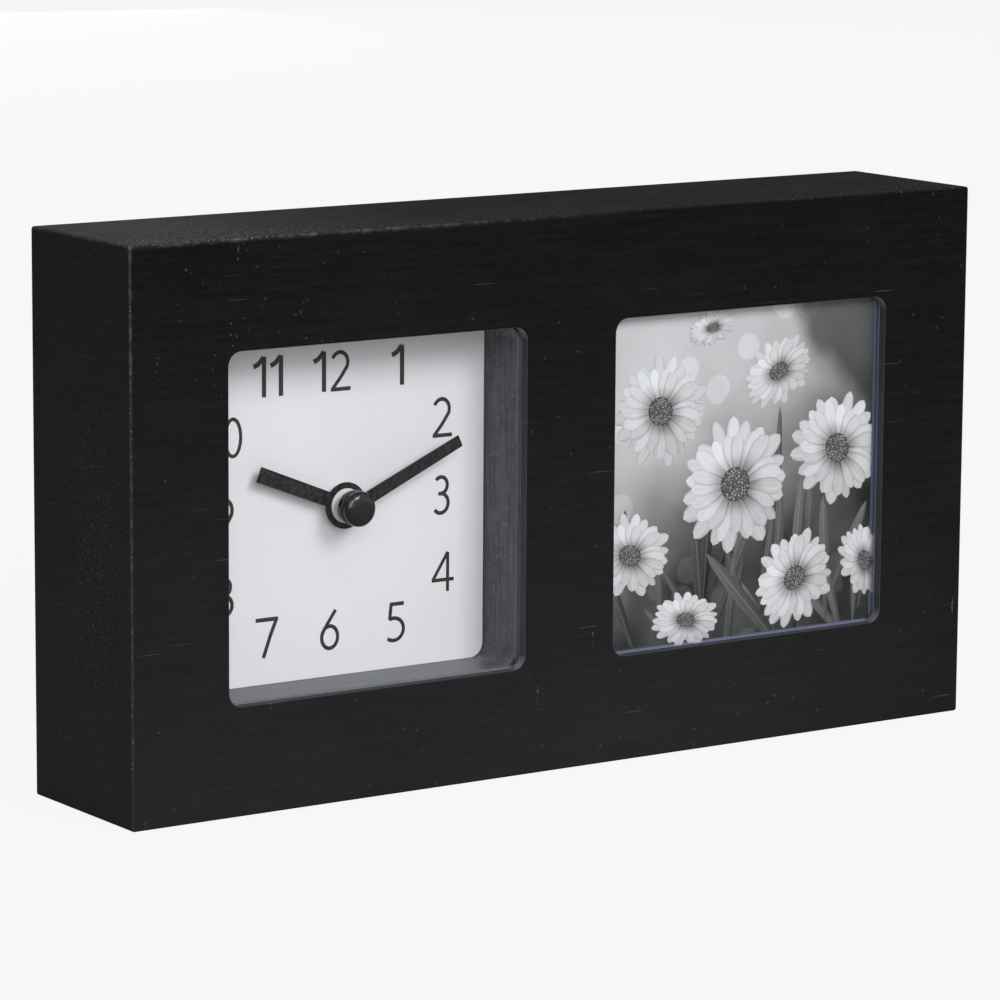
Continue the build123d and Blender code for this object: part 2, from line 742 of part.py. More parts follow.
coil_base = Plane(origin=(coil_x, front_y + coil_depth, coil_bottom), x_dir=(1, 0, 0), z_dir=(0, 0, 1))
bobbin_tube_radius = math.hypot(stator_arm / 2, stator_thickness / 2) + press_gap
with BuildPart() as coil_bobbin:
    with BuildSketch(coil_base):
        Circle(bobbin_tube_radius + 2 * coil_wall_gap)
    extrude(amount=coil_top - coil_bottom)
    with BuildSketch(coil_base, coil_base.offset(coil_top - coil_bottom - coil_flange_thickness)):
        Circle(coil_flange_radius)
    extrude(amount=coil_flange_thickness)
    with BuildSketch(coil_base):
        Rectangle(stator_arm + 2 * press_gap, stator_thickness + 2 * press_gap)
    extrude(amount=coil_top - coil_bottom, mode=Mode.SUBTRACT)
finish(coil_bobbin.part, "coil_bobbin")

with BuildPart() as coil_winding:
    with BuildSketch(coil_base.offset(coil_flange_thickness)):
        Circle(coil_radius)
        Circle(bobbin_tube_radius + 2 * coil_wall_gap + press_gap, mode=Mode.SUBTRACT)
    extrude(amount=coil_top - coil_bottom - 2 * coil_flange_thickness)
finish(coil_winding.part, "coil_winding")

# Circuit board on its stand, with the crystal can and the sealed chip
board_level = plate_back + board_stand
with BuildPart() as circuit_board:
    with BuildSketch(at_depth(board_level)):
        with Locations(board_place):
            Rectangle(board_width, board_height)
    extrude(amount=-board_thickness)
    stand_reach = board_stand_share * board_width
    stands = [(board_place[0] - stand_reach, board_place[1]), (board_place[0] + stand_reach, board_place[1])]
    turned(stands, plate_back, board_level, board_stand_radius)
finish(circuit_board.part, "circuit_board")

board_rear = board_level + board_thickness
with BuildPart() as quartz_crystal:
    crystal_base = Plane(origin=(board_place[0] - crystal_length / 2, front_y + board_rear + crystal_radius,
                                 board_place[1] + board_height / 2 - 2 * crystal_radius),
                         x_dir=(0, 1, 0), z_dir=(1, 0, 0))
    with BuildSketch(crystal_base):
        Circle(crystal_radius)
    extrude(amount=crystal_length)
finish(quartz_crystal.part, "quartz_crystal")

with BuildPart() as controller_chip:
    with BuildSketch(at_depth(board_rear)):
        with Locations((board_place[0], board_place[1] - crystal_radius)):
            Rectangle(chip_size, chip_size)
    extrude(amount=-chip_height)
finish(controller_chip.part, "controller_chip")

# Minute pipe: cannon pinion in front, the centre wheel on it, a collar behind
with BuildPart() as minute_pipe:
    pinion_disc(centre_place, motion_level, gear_module, cannon_teeth, cannon_turn)
    turned([centre_place], minute_pipe_front, bridge_back, minute_pipe_radius)
    turned([centre_place], collar_level, collar_level + collar_thickness,
           minute_pipe_radius + collar_overlap)
    turned([centre_place], minute_pipe_front, bridge_back, arbor_radius + axis_gap, Mode.SUBTRACT)
finish(minute_pipe.part, "minute_pipe")

# Motion wheel on its post: steps the minute pipe down to the hour wheel
with BuildPart() as motion_wheel:
    wheel_disc(motion_place, motion_level, gear_module, motion_teeth, motion_turn)
    pinion_disc(motion_place, hour_level, hour_module, motion_pinion_teeth, motion_pinion_turn)
    turned([motion_place], hour_level, motion_level, set_pivot_radius + motion_hub_wall)
    turned([motion_place], plate_back, motion_level + wheel_thickness, set_pivot_radius + axis_gap,
           Mode.SUBTRACT)
finish(motion_wheel.part, "motion_wheel")

# Hour wheel with its white pipe
hour_pipe_front = hour_hand_depth
with BuildPart() as hour_wheel:
    wheel_disc(centre_place, hour_level, hour_module, hour_teeth, hour_turn)
    turned([centre_place], hour_pipe_front, hour_level, hour_pipe_radius)
    turned([centre_place], hour_pipe_front, hour_level + wheel_thickness, minute_pipe_radius + hour_pipe_gap,
           Mode.SUBTRACT)
finish(hour_wheel.part, "hour_wheel")

# White bush that carries the hour hand
bush_front = hour_hand_depth - hour_bush_proud
bush_flange_front = hour_hand_depth + hand_thickness
bush_back = bush_flange_front + hour_bush_flange_thickness
with BuildPart() as hour_bush:
    turned([centre_place], bush_front, bush_back, hour_bush_radius)
    turned([centre_place], bush_flange_front, bush_back, hour_bush_radius + hour_bush_flange_width)
    turned([centre_place], bush_front, bush_back, hour_pipe_radius + press_gap, Mode.SUBTRACT)
finish(hour_bush.part, "hour_bush")


def hand_outline(length, root_width, tip_width, angle):
    """A straight tapered stick from the axis outwards, in the sketch being drawn."""
    tip = beside(centre_place, length, angle)
    corners = []
    for end, width, side in ((centre_place, root_width, -90), (tip, tip_width, -90), (tip, tip_width, 90),
                             (centre_place, root_width, 90)):
        corners.append(beside(end, width / 2, angle + side))
    Polygon(*corners, align=None)


# Hour hand: blanked sheet with a ring round the bush
with BuildPart() as hour_hand:
    with BuildSketch(at_depth(hour_hand_depth)):
        hand_outline(hour_hand_length, hour_hand_root_width, hour_hand_tip_width, hour_hand_angle)
        with Locations(centre_place):
            Circle(hour_hub_radius)
            Circle(hour_bush_radius + press_gap, mode=Mode.SUBTRACT)
    extrude(amount=-hand_thickness)
finish(hour_hand.part, "hour_hand")

# Minute hand
with BuildPart() as minute_hand:
    with BuildSketch(at_depth(minute_hand_depth)):
        hand_outline(minute_hand_length, minute_hand_root_width, minute_hand_tip_width, minute_hand_angle)
        with Locations(centre_place):
            Circle(minute_hub_radius)
            Circle(minute_pipe_radius + press_gap, mode=Mode.SUBTRACT)
    extrude(amount=-hand_thickness)
finish(minute_hand.part, "minute_hand")

# Cap: domed button pressed over the end of the minute pipe
with BuildPart() as hand_cap:
    turned([centre_place], cap_back - cap_height, cap_back, cap_radius)
    crown = hand_cap.faces().filter_by(Axis.Y).sort_by(Axis.Y)[0]
    chamfer(crown.edges(), cap_edge_ease)
    turned([centre_place], minute_pipe_front, cap_back, minute_pipe_radius + press_gap, Mode.SUBTRACT)
finish(hand_cap.part, "hand_cap")

# Setting stem with its pinion, and the knurled knob on its rear end
knob_front = movement_back + knob_lift
with BuildPart() as set_stem:
    pinion_disc(set_place, motion_level, gear_module, set_teeth, set_turn)
    turned([set_place], motion_level, knob_front + knob_height, set_stem_radius)
    turned([set_place], plate_back - set_pivot_length + axis_gap, motion_level, set_pivot_radius)
finish(set_stem.part, "set_stem")

with BuildPart() as set_knob:
    knob_module = knob_radius / (knob_ribs / 2 + addendum_share)
    toothed_disc(set_place, knob_front, knob_height, knob_module, knob_ribs, set_turn, knob_rib_root_share,
                 knob_rib_tip_share)
    turned([set_place], knob_front, knob_front + knob_height, set_stem_radius + press_gap, Mode.SUBTRACT)
finish(set_knob.part, "set_knob")

# Cell and its two contacts
cell_right = clock_place[0] + chamber_half_width - contact_thickness - contact_end_gap
cell_axis = Plane(origin=(cell_right, front_y + battery_axis_depth, centre_place[1] + battery_z),
                  x_dir=(0, 1, 0), z_dir=(-1, 0, 0))
with BuildPart() as battery:
    with BuildSketch(cell_axis.offset(battery_nub_length)):
        Circle(battery_radius)
    extrude(amount=battery_length - battery_nub_length)
    ends = battery.edges().filter_by(GeomType.CIRCLE)
    chamfer(ends, battery_edge_ease)
    with BuildSketch(cell_axis):
        Circle(battery_nub_radius)
    extrude(amount=battery_nub_length)
finish(battery.part, "battery")

contact_height = 2 * contact_height_share * battery_radius
with BuildPart() as contact_plus:
    with BuildSketch(at_depth(battery_axis_depth - contact_width / 2)):
        with Locations((cell_right + contact_end_gap + contact_thickness / 2, centre_place[1] + battery_z)):
            Rectangle(contact_thickness, contact_height)
    extrude(amount=-contact_width)
finish(contact_plus.part, "contact_plus")

# The minus contact is a strip with a tongue bent out against the cell
contact_left = clock_place[0] - chamber_half_width
tongue_tip = contact_left + contact_thickness + contact_spring_reach
with BuildPart() as contact_minus:
    with BuildSketch(at_depth(battery_axis_depth - contact_width / 2)):
        with BuildLine():
            low = centre_place[1] + battery_z - contact_height / 2
            high = centre_place[1] + battery_z + contact_height / 2
            Polyline((contact_left, low), (contact_left + contact_thickness, low),
                     (tongue_tip, (low + high) / 2), (contact_left + contact_thickness, high),
                     (contact_left, high), close=True)
        make_face()
        with BuildLine():
            Polyline((contact_left + contact_thickness, low + contact_thickness),
                     (tongue_tip - contact_thickness, (low + high) / 2),
                     (contact_left + contact_thickness, high - contact_thickness), close=True)
        make_face(mode=Mode.SUBTRACT)
    extrude(amount=-contact_width)
finish(contact_minus.part, "contact_minus")
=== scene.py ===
import math
import random

import bmesh
import bpy
from mathutils import Matrix, Vector


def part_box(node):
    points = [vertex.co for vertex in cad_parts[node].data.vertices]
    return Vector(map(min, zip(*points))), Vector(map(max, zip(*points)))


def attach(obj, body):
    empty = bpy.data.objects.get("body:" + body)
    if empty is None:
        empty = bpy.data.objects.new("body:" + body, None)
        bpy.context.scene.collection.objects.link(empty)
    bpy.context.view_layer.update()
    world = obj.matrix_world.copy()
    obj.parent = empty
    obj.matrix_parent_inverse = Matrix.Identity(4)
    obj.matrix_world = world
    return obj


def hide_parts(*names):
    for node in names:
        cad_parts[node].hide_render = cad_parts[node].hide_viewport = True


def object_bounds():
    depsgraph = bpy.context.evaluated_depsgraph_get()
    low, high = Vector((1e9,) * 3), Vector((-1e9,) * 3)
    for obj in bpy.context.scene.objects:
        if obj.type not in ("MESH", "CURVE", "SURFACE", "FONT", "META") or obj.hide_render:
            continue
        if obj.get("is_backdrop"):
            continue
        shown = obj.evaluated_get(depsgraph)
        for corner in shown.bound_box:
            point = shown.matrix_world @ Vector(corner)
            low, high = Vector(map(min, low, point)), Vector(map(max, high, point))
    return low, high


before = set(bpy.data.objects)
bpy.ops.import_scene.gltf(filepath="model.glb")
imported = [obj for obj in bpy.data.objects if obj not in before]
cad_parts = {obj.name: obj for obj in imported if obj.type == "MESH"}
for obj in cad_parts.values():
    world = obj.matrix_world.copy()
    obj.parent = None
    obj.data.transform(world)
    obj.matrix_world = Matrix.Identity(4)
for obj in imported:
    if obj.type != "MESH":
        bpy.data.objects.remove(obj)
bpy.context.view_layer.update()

# Camera. The clock is seen from its left and a little above, through a long lens, as in a catalogue.
view_lens = 173.95
view_yaw = math.radians(34.494)
view_pitch = math.radians(-9.783)
view_roll = math.radians(0.390)
view_place = Vector((-0.55930, -0.80743, 0.22233))

ahead = Vector((math.sin(view_yaw) * math.cos(view_pitch), math.cos(view_yaw) * math.cos(view_pitch),
                math.sin(view_pitch)))
camera_data = bpy.data.cameras.new("catalogue_camera")
camera_data.lens = view_lens
camera_data.sensor_width = 36
camera = bpy.data.objects.new("catalogue_camera", camera_data)
camera.location = view_place
camera.rotation_mode = "QUATERNION"
upright = ahead.to_track_quat("-Z", "Y")
camera.rotation_quaternion = upright @ Matrix.Rotation(view_roll, 3, "Z").to_quaternion()
bpy.context.scene.collection.objects.link(camera)
bpy.context.scene.camera = camera
bpy.context.scene.view_settings.view_transform = "Standard"


class Value:
    """A socket in a tree of nodes. Sums and products of values add Math nodes to the tree."""

    def __init__(self, tree, socket=None):
        self.tree = tree
        self.socket = socket

    def node(self, kind, settings=None, inputs=None, output=0):
        """Adds a node: first its settings, then the values or links of its sockets."""
        made = self.tree.nodes.new(kind)
        for name, setting in (settings or {}).items():
            setattr(made, name, setting)
        for name, given in (inputs or {}).items():
            for each in given if isinstance(given, list) else [given]:
                if isinstance(each, Value):
                    self.tree.links.new(each.socket, made.inputs[name])
                else:
                    made.inputs[name].default_value = each
        return Value(self.tree, made.outputs[output] if made.outputs else None)

    def beside(self, output):
        """Another output of the same node."""
        return Value(self.tree, self.socket.node.outputs[output])

    def math(self, operation, first, second=0.0):
        return self.node("ShaderNodeMath", {"operation": operation}, {0: first, 1: second})

    def __add__(self, other):
        return self.math("ADD", self, other)

    __radd__ = __add__

    def __sub__(self, other):
        return self.math("SUBTRACT", self, other)

    def __rsub__(self, other):
        return self.math("SUBTRACT", other, self)

    def __mul__(self, other):
        return self.math("MULTIPLY", self, other)

    __rmul__ = __mul__

    def __truediv__(self, other):
        return self.math("DIVIDE", self, other)

    def __abs__(self):
        return self.math("ABSOLUTE", self)

    def rise(self, low, high):
        """0 at low and 1 at high, with a smooth step between; low above high turns it round."""
        return self.node("ShaderNodeMapRange", {"interpolation_type": "SMOOTHSTEP"},
                         {"Value": self, "From Min": low, "From Max": high})

    def blend(self, first, second):
        """Two colours mixed by this value."""
        return self.node("ShaderNodeMix", {"data_type": "RGBA"}, {0: self, 6: first, 7: second}, 2)

    def xyz(self, x=0.0, y=0.0, z=0.0):
        """Three numbers or values as one vector."""
        return self.node("ShaderNodeCombineXYZ", {}, {0: x, 1: y, 2: z})

    def split(self):
        """The three numbers of this vector."""
        x = self.node("ShaderNodeSeparateXYZ", {}, {0: self})
        return x, x.beside(1), x.beside(2)


def start_finish(name):
    """An empty material, and a value to add its first nodes from."""
    material = bpy.data.materials.new(name)
    material.use_nodes = True
    material.node_tree.nodes.clear()
    return material, Value(material.node_tree)


def grey(level):
    return (level, level, level, 1)


# Studio. A white sweep with two softboxes in front, one to the right and one low on the left, and a
# third behind for the rear; the even white room round it lights the rest and shows in what is glossy.
room_light = 0.30
sweep_shade = 0.50
sweep_glow = 0.90
sweep_reach = 3.0
lamp_target = Vector((0, 0, 0.06))

world = bpy.data.worlds.new("white_room")
world.use_nodes = True
world.node_tree.nodes.clear()
room = Value(world.node_tree)
ray = room.node("ShaderNodeLightPath", output="Is Camera Ray")
mirrored = room.math("MAXIMUM", ray.beside("Is Glossy Ray"), ray.beside("Is Transmission Ray"))
strength = room.math("MAXIMUM", ray, mirrored) * (1 - room_light) + room_light
backdrop = room.node("ShaderNodeBackground", {}, {"Color": grey(1.0), "Strength": strength})
room.node("ShaderNodeOutputWorld", {}, {"Surface": backdrop})
bpy.context.scene.world = world

sweep_mesh = bpy.data.meshes.new("sweep")
sweep_mesh.from_pydata([(-sweep_reach, -sweep_reach, 0), (sweep_reach, -sweep_reach, 0),
                        (sweep_reach, sweep_reach, 0), (-sweep_reach, sweep_reach, 0)], [], [(0, 1, 2, 3)])
sweep = bpy.data.objects.new("sweep", sweep_mesh)
bpy.context.scene.collection.objects.link(sweep)
sweep_paint, start = start_finish("white_sweep")
matt = start.node("ShaderNodeBsdfDiffuse", {}, {"Color": grey(sweep_shade)})
glow = start.node("ShaderNodeEmission", {}, {"Color": grey(1.0), "Strength": 1.0})
to_eye = start.node("ShaderNodeLightPath", output="Is Camera Ray")
mixed = start.node("ShaderNodeMixShader", {}, {0: to_eye * sweep_glow, 1: matt, 2: glow})
start.node("ShaderNodeOutputMaterial", {}, {"Surface": mixed})
sweep_mesh.materials.append(sweep_paint)
sweep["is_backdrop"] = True

# Name, power in watts, width in metres and place of each softbox
softboxes = (("key_softbox", 20.0, 0.8, (0.30, -1.8, 1.20)),
             ("fill_softbox", 14.0, 1.0, (-0.7, -1.7, 0.70)),
             ("rear_softbox", 13.0, 1.2, (0.50, 2.0, 0.40)))
for name, power, width, place in softboxes:
    lamp_data = bpy.data.lights.new(name, "AREA")
    lamp_data.energy = power
    lamp_data.size = width
    lamp = bpy.data.objects.new(name, lamp_data)
    lamp.location = place
    lamp.rotation_mode = "QUATERNION"
    lamp.rotation_quaternion = (lamp_target - Vector(place)).to_track_quat("-Z", "Y")
    bpy.context.scene.collection.objects.link(lamp)


# Case. A thin front board and four mitred boards, glued, filled and sprayed together in dead black.
# Handling has rubbed its edges and scratched it, and fine dust clings to the top and down the side;
# painted light lightens the top, the side, the face toward the foot and the walls of the windows.
paint_shade = (0.0045, 0.0045, 0.0048, 1)
streak_shade = (0.0098, 0.0097, 0.0103, 1)
rubbed_shade = (0.105, 0.105, 0.108, 1)
# The shade of pale dust, also used for the painted light on the case and in the tunnel
pale_dust_and_light_shade = (0.24, 0.24, 0.26, 1)
window_reach = 0.035
scratch_angles = (7, 14, 172)
face_skin = 0.0001
edge_reach = 0.0007
case_low, case_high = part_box("front_panel")
window_places = [(low.x + high.x) / 2 for low, high in (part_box("clock_glass"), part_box("photo_glass"))]
window_level = (case_low.z + case_high.z) / 2


def own_place(start, stretch=(1, 1, 1), turn=(0, 0, 0)):
    """Where a point of the piece is, in its own metres, turned and stretched along the axes."""
    place = start.node("ShaderNodeTexCoord", output="Object")
    return start.node("ShaderNodeMapping", {"vector_type": "POINT"},
                      {"Vector": place, "Rotation": turn, "Scale": stretch})


def noise(place, scale, detail=2.0, roughness=0.5):
    return place.node("ShaderNodeTexNoise", {}, {"Vector": place, "Scale": scale, "Detail": detail,
                                                 "Roughness": roughness})


def cells(place, scale):
    """Distance to the middle of the nearest of many scattered cells, and a random number of its own."""
    near = place.node("ShaderNodeTexVoronoi", {"feature": "F1"}, {"Vector": place, "Scale": scale})
    return near, near.node("ShaderNodeSeparateColor", {}, {0: near.beside("Color")})


def relief(height, strength, distance):
    return height.node("ShaderNodeBump", {}, {"Height": height, "Strength": strength, "Distance": distance})


def close_finish(start, **inputs):
    """Ends a material in one shader, whose sockets are given by their words joined with underscores."""
    named = {name.replace("_", " "): given for name, given in inputs.items()}
    shader = start.node("ShaderNodeBsdfPrincipled", {}, named)
    start.node("ShaderNodeOutputMaterial", {}, {"Surface": shader})


def dress(material, *names):
    """Gives CAD nodes their finish."""
    for name in names:
        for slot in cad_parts[name].material_slots:
            slot.material = material


def at_face(along, face, inward):
    """1 on a face of the case and 0 a few tenths inside; inward is the sign of the way in."""
    return along.rise(face + inward * face_skin * 4, face + inward * face_skin)


def near_edge(first, first_edge, second, second_edge, reach):
    """1 on an edge of the case and 0 a reach away from it along either face."""
    away = first.math("MAXIMUM", abs(first - first_edge), abs(second - second_edge))
    return away.rise(reach, 0)


def near_level(along, level, reach):
    """1 at a level and 0 a reach away from it."""
    return abs(along - level).rise(reach, 0)


def black_paint():
    material, start = start_finish("black_paint_on_board")
    place = own_place(start)
    x, y, z = place.split()
    cloud = noise(place, 34, 4, 0.6)
    drift = noise(place, 13, 2)
    streaks = noise(own_place(start, (60, 90, 1100)), 1.0, 4, 0.65)
    fine_streaks = noise(own_place(start, (260, 260, 2300)), 1.0, 2)
    grain = noise(place, 1700, 3, 0.7)
    on_top = at_face(z, case_high.z, -1)
    on_side = at_face(x, case_low.x, 1)
    on_rear = at_face(y, case_high.y, -1)
    near_end = x.rise(-0.02, -0.10)
    # Painted light as a pale film, growing toward the foot, thicker on the top and the side, thinning to the
    # right
    painted_light_film = z.rise(0.135, -0.035) * (0.066 + (drift - 0.5) * 0.02) * x.rise(0.20, 0.02)
    painted_light_film = painted_light_film + on_top * (0.026 + (cloud - 0.5) * 0.05 - near_end * 0.004) + on_side * 0.062
    # Crumbs of dust: single ones, and powder that lies thickest on the top's near end and down the side
    shaken = place.node("ShaderNodeVectorMath", {"operation": "ADD"},
                        {0: place, 1: noise(place, 1500, 2).beside(1) * 0.0004})
    dot, pick = cells(shaken, 620)
    speck = dot.rise(0.26, 0.06) * (pick + on_side * 0.04).rise(0.94, 0.955)
    speck = speck * (0.1 + pick.beside(1) * pick.beside(1))
    powder_dot, powder_pick = cells(shaken, 2700)
    settled = on_top * (near_level(y, case_low.y, 0.022) * 0.26 + 0.04) * (0.2 + near_end * 1.1)
    beside = on_side * (near_level(y, -0.006, 0.018) * near_level(z, 0.050, 0.050) * 0.22 + 0.10)
    share = settled + beside + drift.rise(0.48, 0.66) * near_end * 0.022 + cloud.rise(0.5, 0.7) * 0.014
    powder = powder_dot.rise(0.55, 0.25) * (powder_pick + share).rise(1.0, 1.03)
    # Hair scratches in families, nearly level, and a few short upright knocks with crumbled edges
    scratch = 0
    for count, angle in enumerate(scratch_angles):
        turned = own_place(start, (52, 52, 2100), (0, math.radians(angle), 0.13 * count))
        line, pick = cells(turned, 1.0)
        scratch = scratch + line.rise(0.22, 0.03) * pick.rise(0.955, 0.985) * pick.beside(1)
    upset = place.node("ShaderNodeVectorMath", {"operation": "ADD"},
                       {0: own_place(start, (1100, 1100, 150)), 1: noise(place, 1300, 2).beside(1) * 1.6})
    line, pick = cells(upset, 1.0)
    knock = line.rise(0.36, 0.16) * pick.rise(0.9935, 0.996) * grain.rise(0.45, 0.55)
    # Edges: bare where hands and shelves touch, most of all the near upright and the top's front edge
    worn = noise(place, 320, 4, 0.75).rise(0.44, 0.62)
    upright = near_edge(x, case_low.x, y, case_low.y, edge_reach) * z.rise(-0.03, 0.10) * 1.5
    top_front = near_edge(z, case_high.z, y, case_low.y, edge_reach * 1.6) * x.rise(0.02, -0.06) * 1.3
    top_side = near_edge(x, case_low.x, z, case_high.z, edge_reach * 1.4) * 0.6
    far_upright = near_edge(x, case_high.x, y, case_low.y, edge_reach) * 0.3
    rubbed = (upright + top_front + top_side + far_upright) * (0.20 + 0.80 * worn)
    # The mitres show as hair lines in the rear edges
    from_foot_or_top = start.math("MINIMUM", z, case_high.z - z)
    mitre = near_level(from_foot_or_top + abs(x), case_high.x, 0.0002) * on_rear
    # Painted light on the walls of the windows, and a painted glint at their corners
    away = start.math("MINIMUM", abs(x - window_places[0]), abs(x - window_places[1]))
    outside, inside = window_reach + 0.0050, window_reach + 0.0045
    window_wall_light = y.rise(case_low.y + face_skin, case_low.y + face_skin * 3)
    window_wall_light = window_wall_light * abs(z - window_level).rise(outside, inside) * away.rise(outside, inside)
    corner = start.math("MAXIMUM", abs(away - window_reach),
                        abs(abs(z - window_level) - window_reach)).rise(0.0030, 0.0012)
    mixed = streaks * 0.35 + fine_streaks * 0.2 + grain * 0.25 + cloud * 0.2
    colour = mixed.rise(0.38, 0.64).blend(paint_shade, streak_shade)
    # Painted light: the pale film lightens the paint toward the foot, on the top and on the side
    colour = painted_light_film.blend(colour, pale_dust_and_light_shade)
    # Painted light on the window walls, brighter at the corners as painted glints
    colour = (window_wall_light * (0.22 + corner * (0.25 + grain * 0.3))).blend(colour, pale_dust_and_light_shade)
    colour = (rubbed * 0.55 + mitre * 0.35).blend(colour, rubbed_shade)
    colour = (scratch * 0.34 + knock * 0.34).blend(colour, pale_dust_and_light_shade)
    colour = (speck * 0.55 + powder * 0.62).blend(colour, pale_dust_and_light_shade)
    height = streaks * 0.4 + fine_streaks * 0.3 + grain * 0.3 - scratch * 0.25 + speck * 0.5
    close_finish(start, Base_Color=colour, Roughness=0.62 + (cloud - 0.5) * 0.2, Specular_IOR_Level=0.0,
                 Coat_Weight=0.05 + (streaks - 0.5) * 0.02, Coat_Roughness=0.36,
                 Normal=relief(height, 0.22, 0.0001))
    return material


dress(black_paint(), "front_panel", "top_rail", "bottom_rail", "left_stile", "right_stile")


# Tunnel. The deep frame behind the clock's window is painted too, by brush, and is a little glossier, so
# that its walls mirror the dial; painted light lightens its floor and lower walls, and a painted shadow
# darkens it where the card meets it.
card_low, card_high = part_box("dial_card")


def tunnel_paint():
    material, start = start_finish("brushed_black_paint")
    place = own_place(start)
    x, y, z = place.split()
    upright = noise(own_place(start, (2600, 1300, 60)), 1.0, 4, 0.65)
    level = noise(own_place(start, (60, 1300, 2600)), 1.0, 4, 0.65)
    cloud = noise(place, 260, 3, 0.6)
    floor = z.rise(window_level - window_reach + 0.0008, window_level - window_reach + 0.0002)
    dot, pick = cells(place, 1100)
    speck = dot.rise(0.40, 0.20) * pick.rise(0.93, 0.95)
    brushed = upright * (1 - floor) * 0.6 + level * floor * 0.6 + cloud * 0.4
    colour = brushed.rise(0.36, 0.66).blend((0.008, 0.008, 0.011, 1), (0.068, 0.074, 0.094, 1))
    # Painted light: the floor lighter toward the right, and the walls lighter toward the floor
    painted_floor_light = floor * (0.13 + x.rise(card_low.x, card_high.x) * 0.12)
    painted_light_lower = z.rise(window_level + window_reach, window_level - window_reach) * 0.05
    # Painted shadow: the paint darkens close to the card
    seam = y.rise(card_low.y - 0.0016, card_low.y - 0.0002)
    colour = (speck * 0.45 + painted_floor_light + painted_light_lower).blend(colour, pale_dust_and_light_shade)
    colour = (seam * 0.85).blend(colour, (0.004, 0.004, 0.005, 1))
    close_finish(start, Base_Color=colour, Roughness=0.36 + (cloud - 0.5) * 0.2, Specular_IOR_Level=0.5,
                 Normal=relief(brushed, 0.35, 0.00012))
    return material


dress(tunnel_paint(), "dial_spacer")


# Rear of the case. The back panel, the liner of the photo bay and the divider are bare fibreboard,
# stained dark before assembly, with the fibres still to be seen.
def bare_board(name, dark, light):
    material, start = start_finish(name)
    place = own_place(start)
    fibres = noise(own_place(start, (1, 1, 0.35)), 900, 5, 0.7)
    cloud = noise(place, 40, 3)
    fleck, pick = cells(own_place(start, (1, 1, 0.4)), 700)
    pale = fleck.rise(0.35, 0.15) * pick.rise(0.82, 0.90)
    colour = (fibres * 0.6 + cloud * 0.4).rise(0.35, 0.68).blend(dark, light)
    colour = (pale * 0.25).blend(colour, tuple(2.2 * level for level in light[:3]) + (1,))
    close_finish(start, Base_Color=colour, Roughness=0.82 + (fibres - 0.5) * 0.15,
                 Specular_IOR_Level=0.25, Normal=relief(fibres, 0.45, 0.0002))
    return material


dress(bare_board("stained_fibreboard", (0.020, 0.019, 0.018, 1), (0.052, 0.048, 0.044, 1)),
      "back_panel", "centre_divider")
dress(bare_board("raw_fibreboard", (0.20, 0.125, 0.070, 1), (0.33, 0.22, 0.13, 1)),
      "photo_liner", "dial_board", "photo_backing")


# Screws. Round-headed wood screws with a cross recess, plated, driven by hand, so that no two
# recesses stand the same way; four hold the back panel and four are pivots of the turn-buttons.
head_sides = 40
shank_sides = 20
recess_width_share = 0.26
recess_length_share = 1.15
recess_depth_share = 0.62


def start_tree(name, *sizes):
    """A tree of geometry nodes with an input for each size, and the value of its seed geometry."""
    tree = bpy.data.node_groups.new(name, "GeometryNodeTree")
    tree.interface.new_socket("Geometry", in_out="INPUT", socket_type="NodeSocketGeometry")
    for size in sizes:
        tree.interface.new_socket(size, in_out="INPUT", socket_type="NodeSocketFloat")
    tree.interface.new_socket("Finish", in_out="INPUT", socket_type="NodeSocketMaterial")
    tree.interface.new_socket("Geometry", in_out="OUTPUT", socket_type="NodeSocketGeometry")
    return tree, Value(tree).node("NodeGroupInput")


def close_tree(result, seeds):
    """Ends a tree in one realised geometry with the finish on it."""
    solid = result.node("GeometryNodeRealizeInstances", {}, {0: result})
    solid = result.node("GeometryNodeSetMaterial", {}, {"Geometry": solid,
                                                        "Material": seeds.beside("Finish")})
    result.node("NodeGroupOutput", {}, {0: solid})


def chance(seeds, low, high, seed):
    """A random number for each point or copy."""
    return seeds.node("FunctionNodeRandomValue", {"data_type": "FLOAT"}, {2: low, 3: high, "Seed": seed}, 1)


def moved(geometry, **change):
    """The geometry with a Translation, Rotation or Scale."""
    return geometry.node("GeometryNodeTransform", {}, {"Geometry": geometry, **change})


def grow(name, body, tree, finish, points, edges, marks, **sizes):
    """Runs a tree on points or lines, each with its marks, and keeps the result as a mesh on a body."""
    seeds = bpy.data.meshes.new(name)
    seeds.from_pydata(points, edges, [])
    for mark, values in marks.items():
        seeds.attributes.new(mark, "FLOAT", "POINT").data.foreach_set("value", values)
    piece = bpy.data.objects.new(name, seeds)
    bpy.context.scene.collection.objects.link(piece)
    modifier = piece.modifiers.new(name, "NODES")
    modifier.node_group = tree
    sockets = {each.name: each.identifier for each in tree.interface.items_tree if each.in_out == "INPUT"}
    modifier[sockets["Finish"]] = finish
    for size, value in sizes.items():
        modifier[sockets[size.replace("_", " ")]] = value
    bpy.context.view_layer.update()
    made = bpy.data.meshes.new_from_object(piece.evaluated_get(bpy.context.evaluated_depsgraph_get()))
    piece.modifiers.remove(modifier)
    piece.data = made
    made.name = name
    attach(piece, body)
    return piece


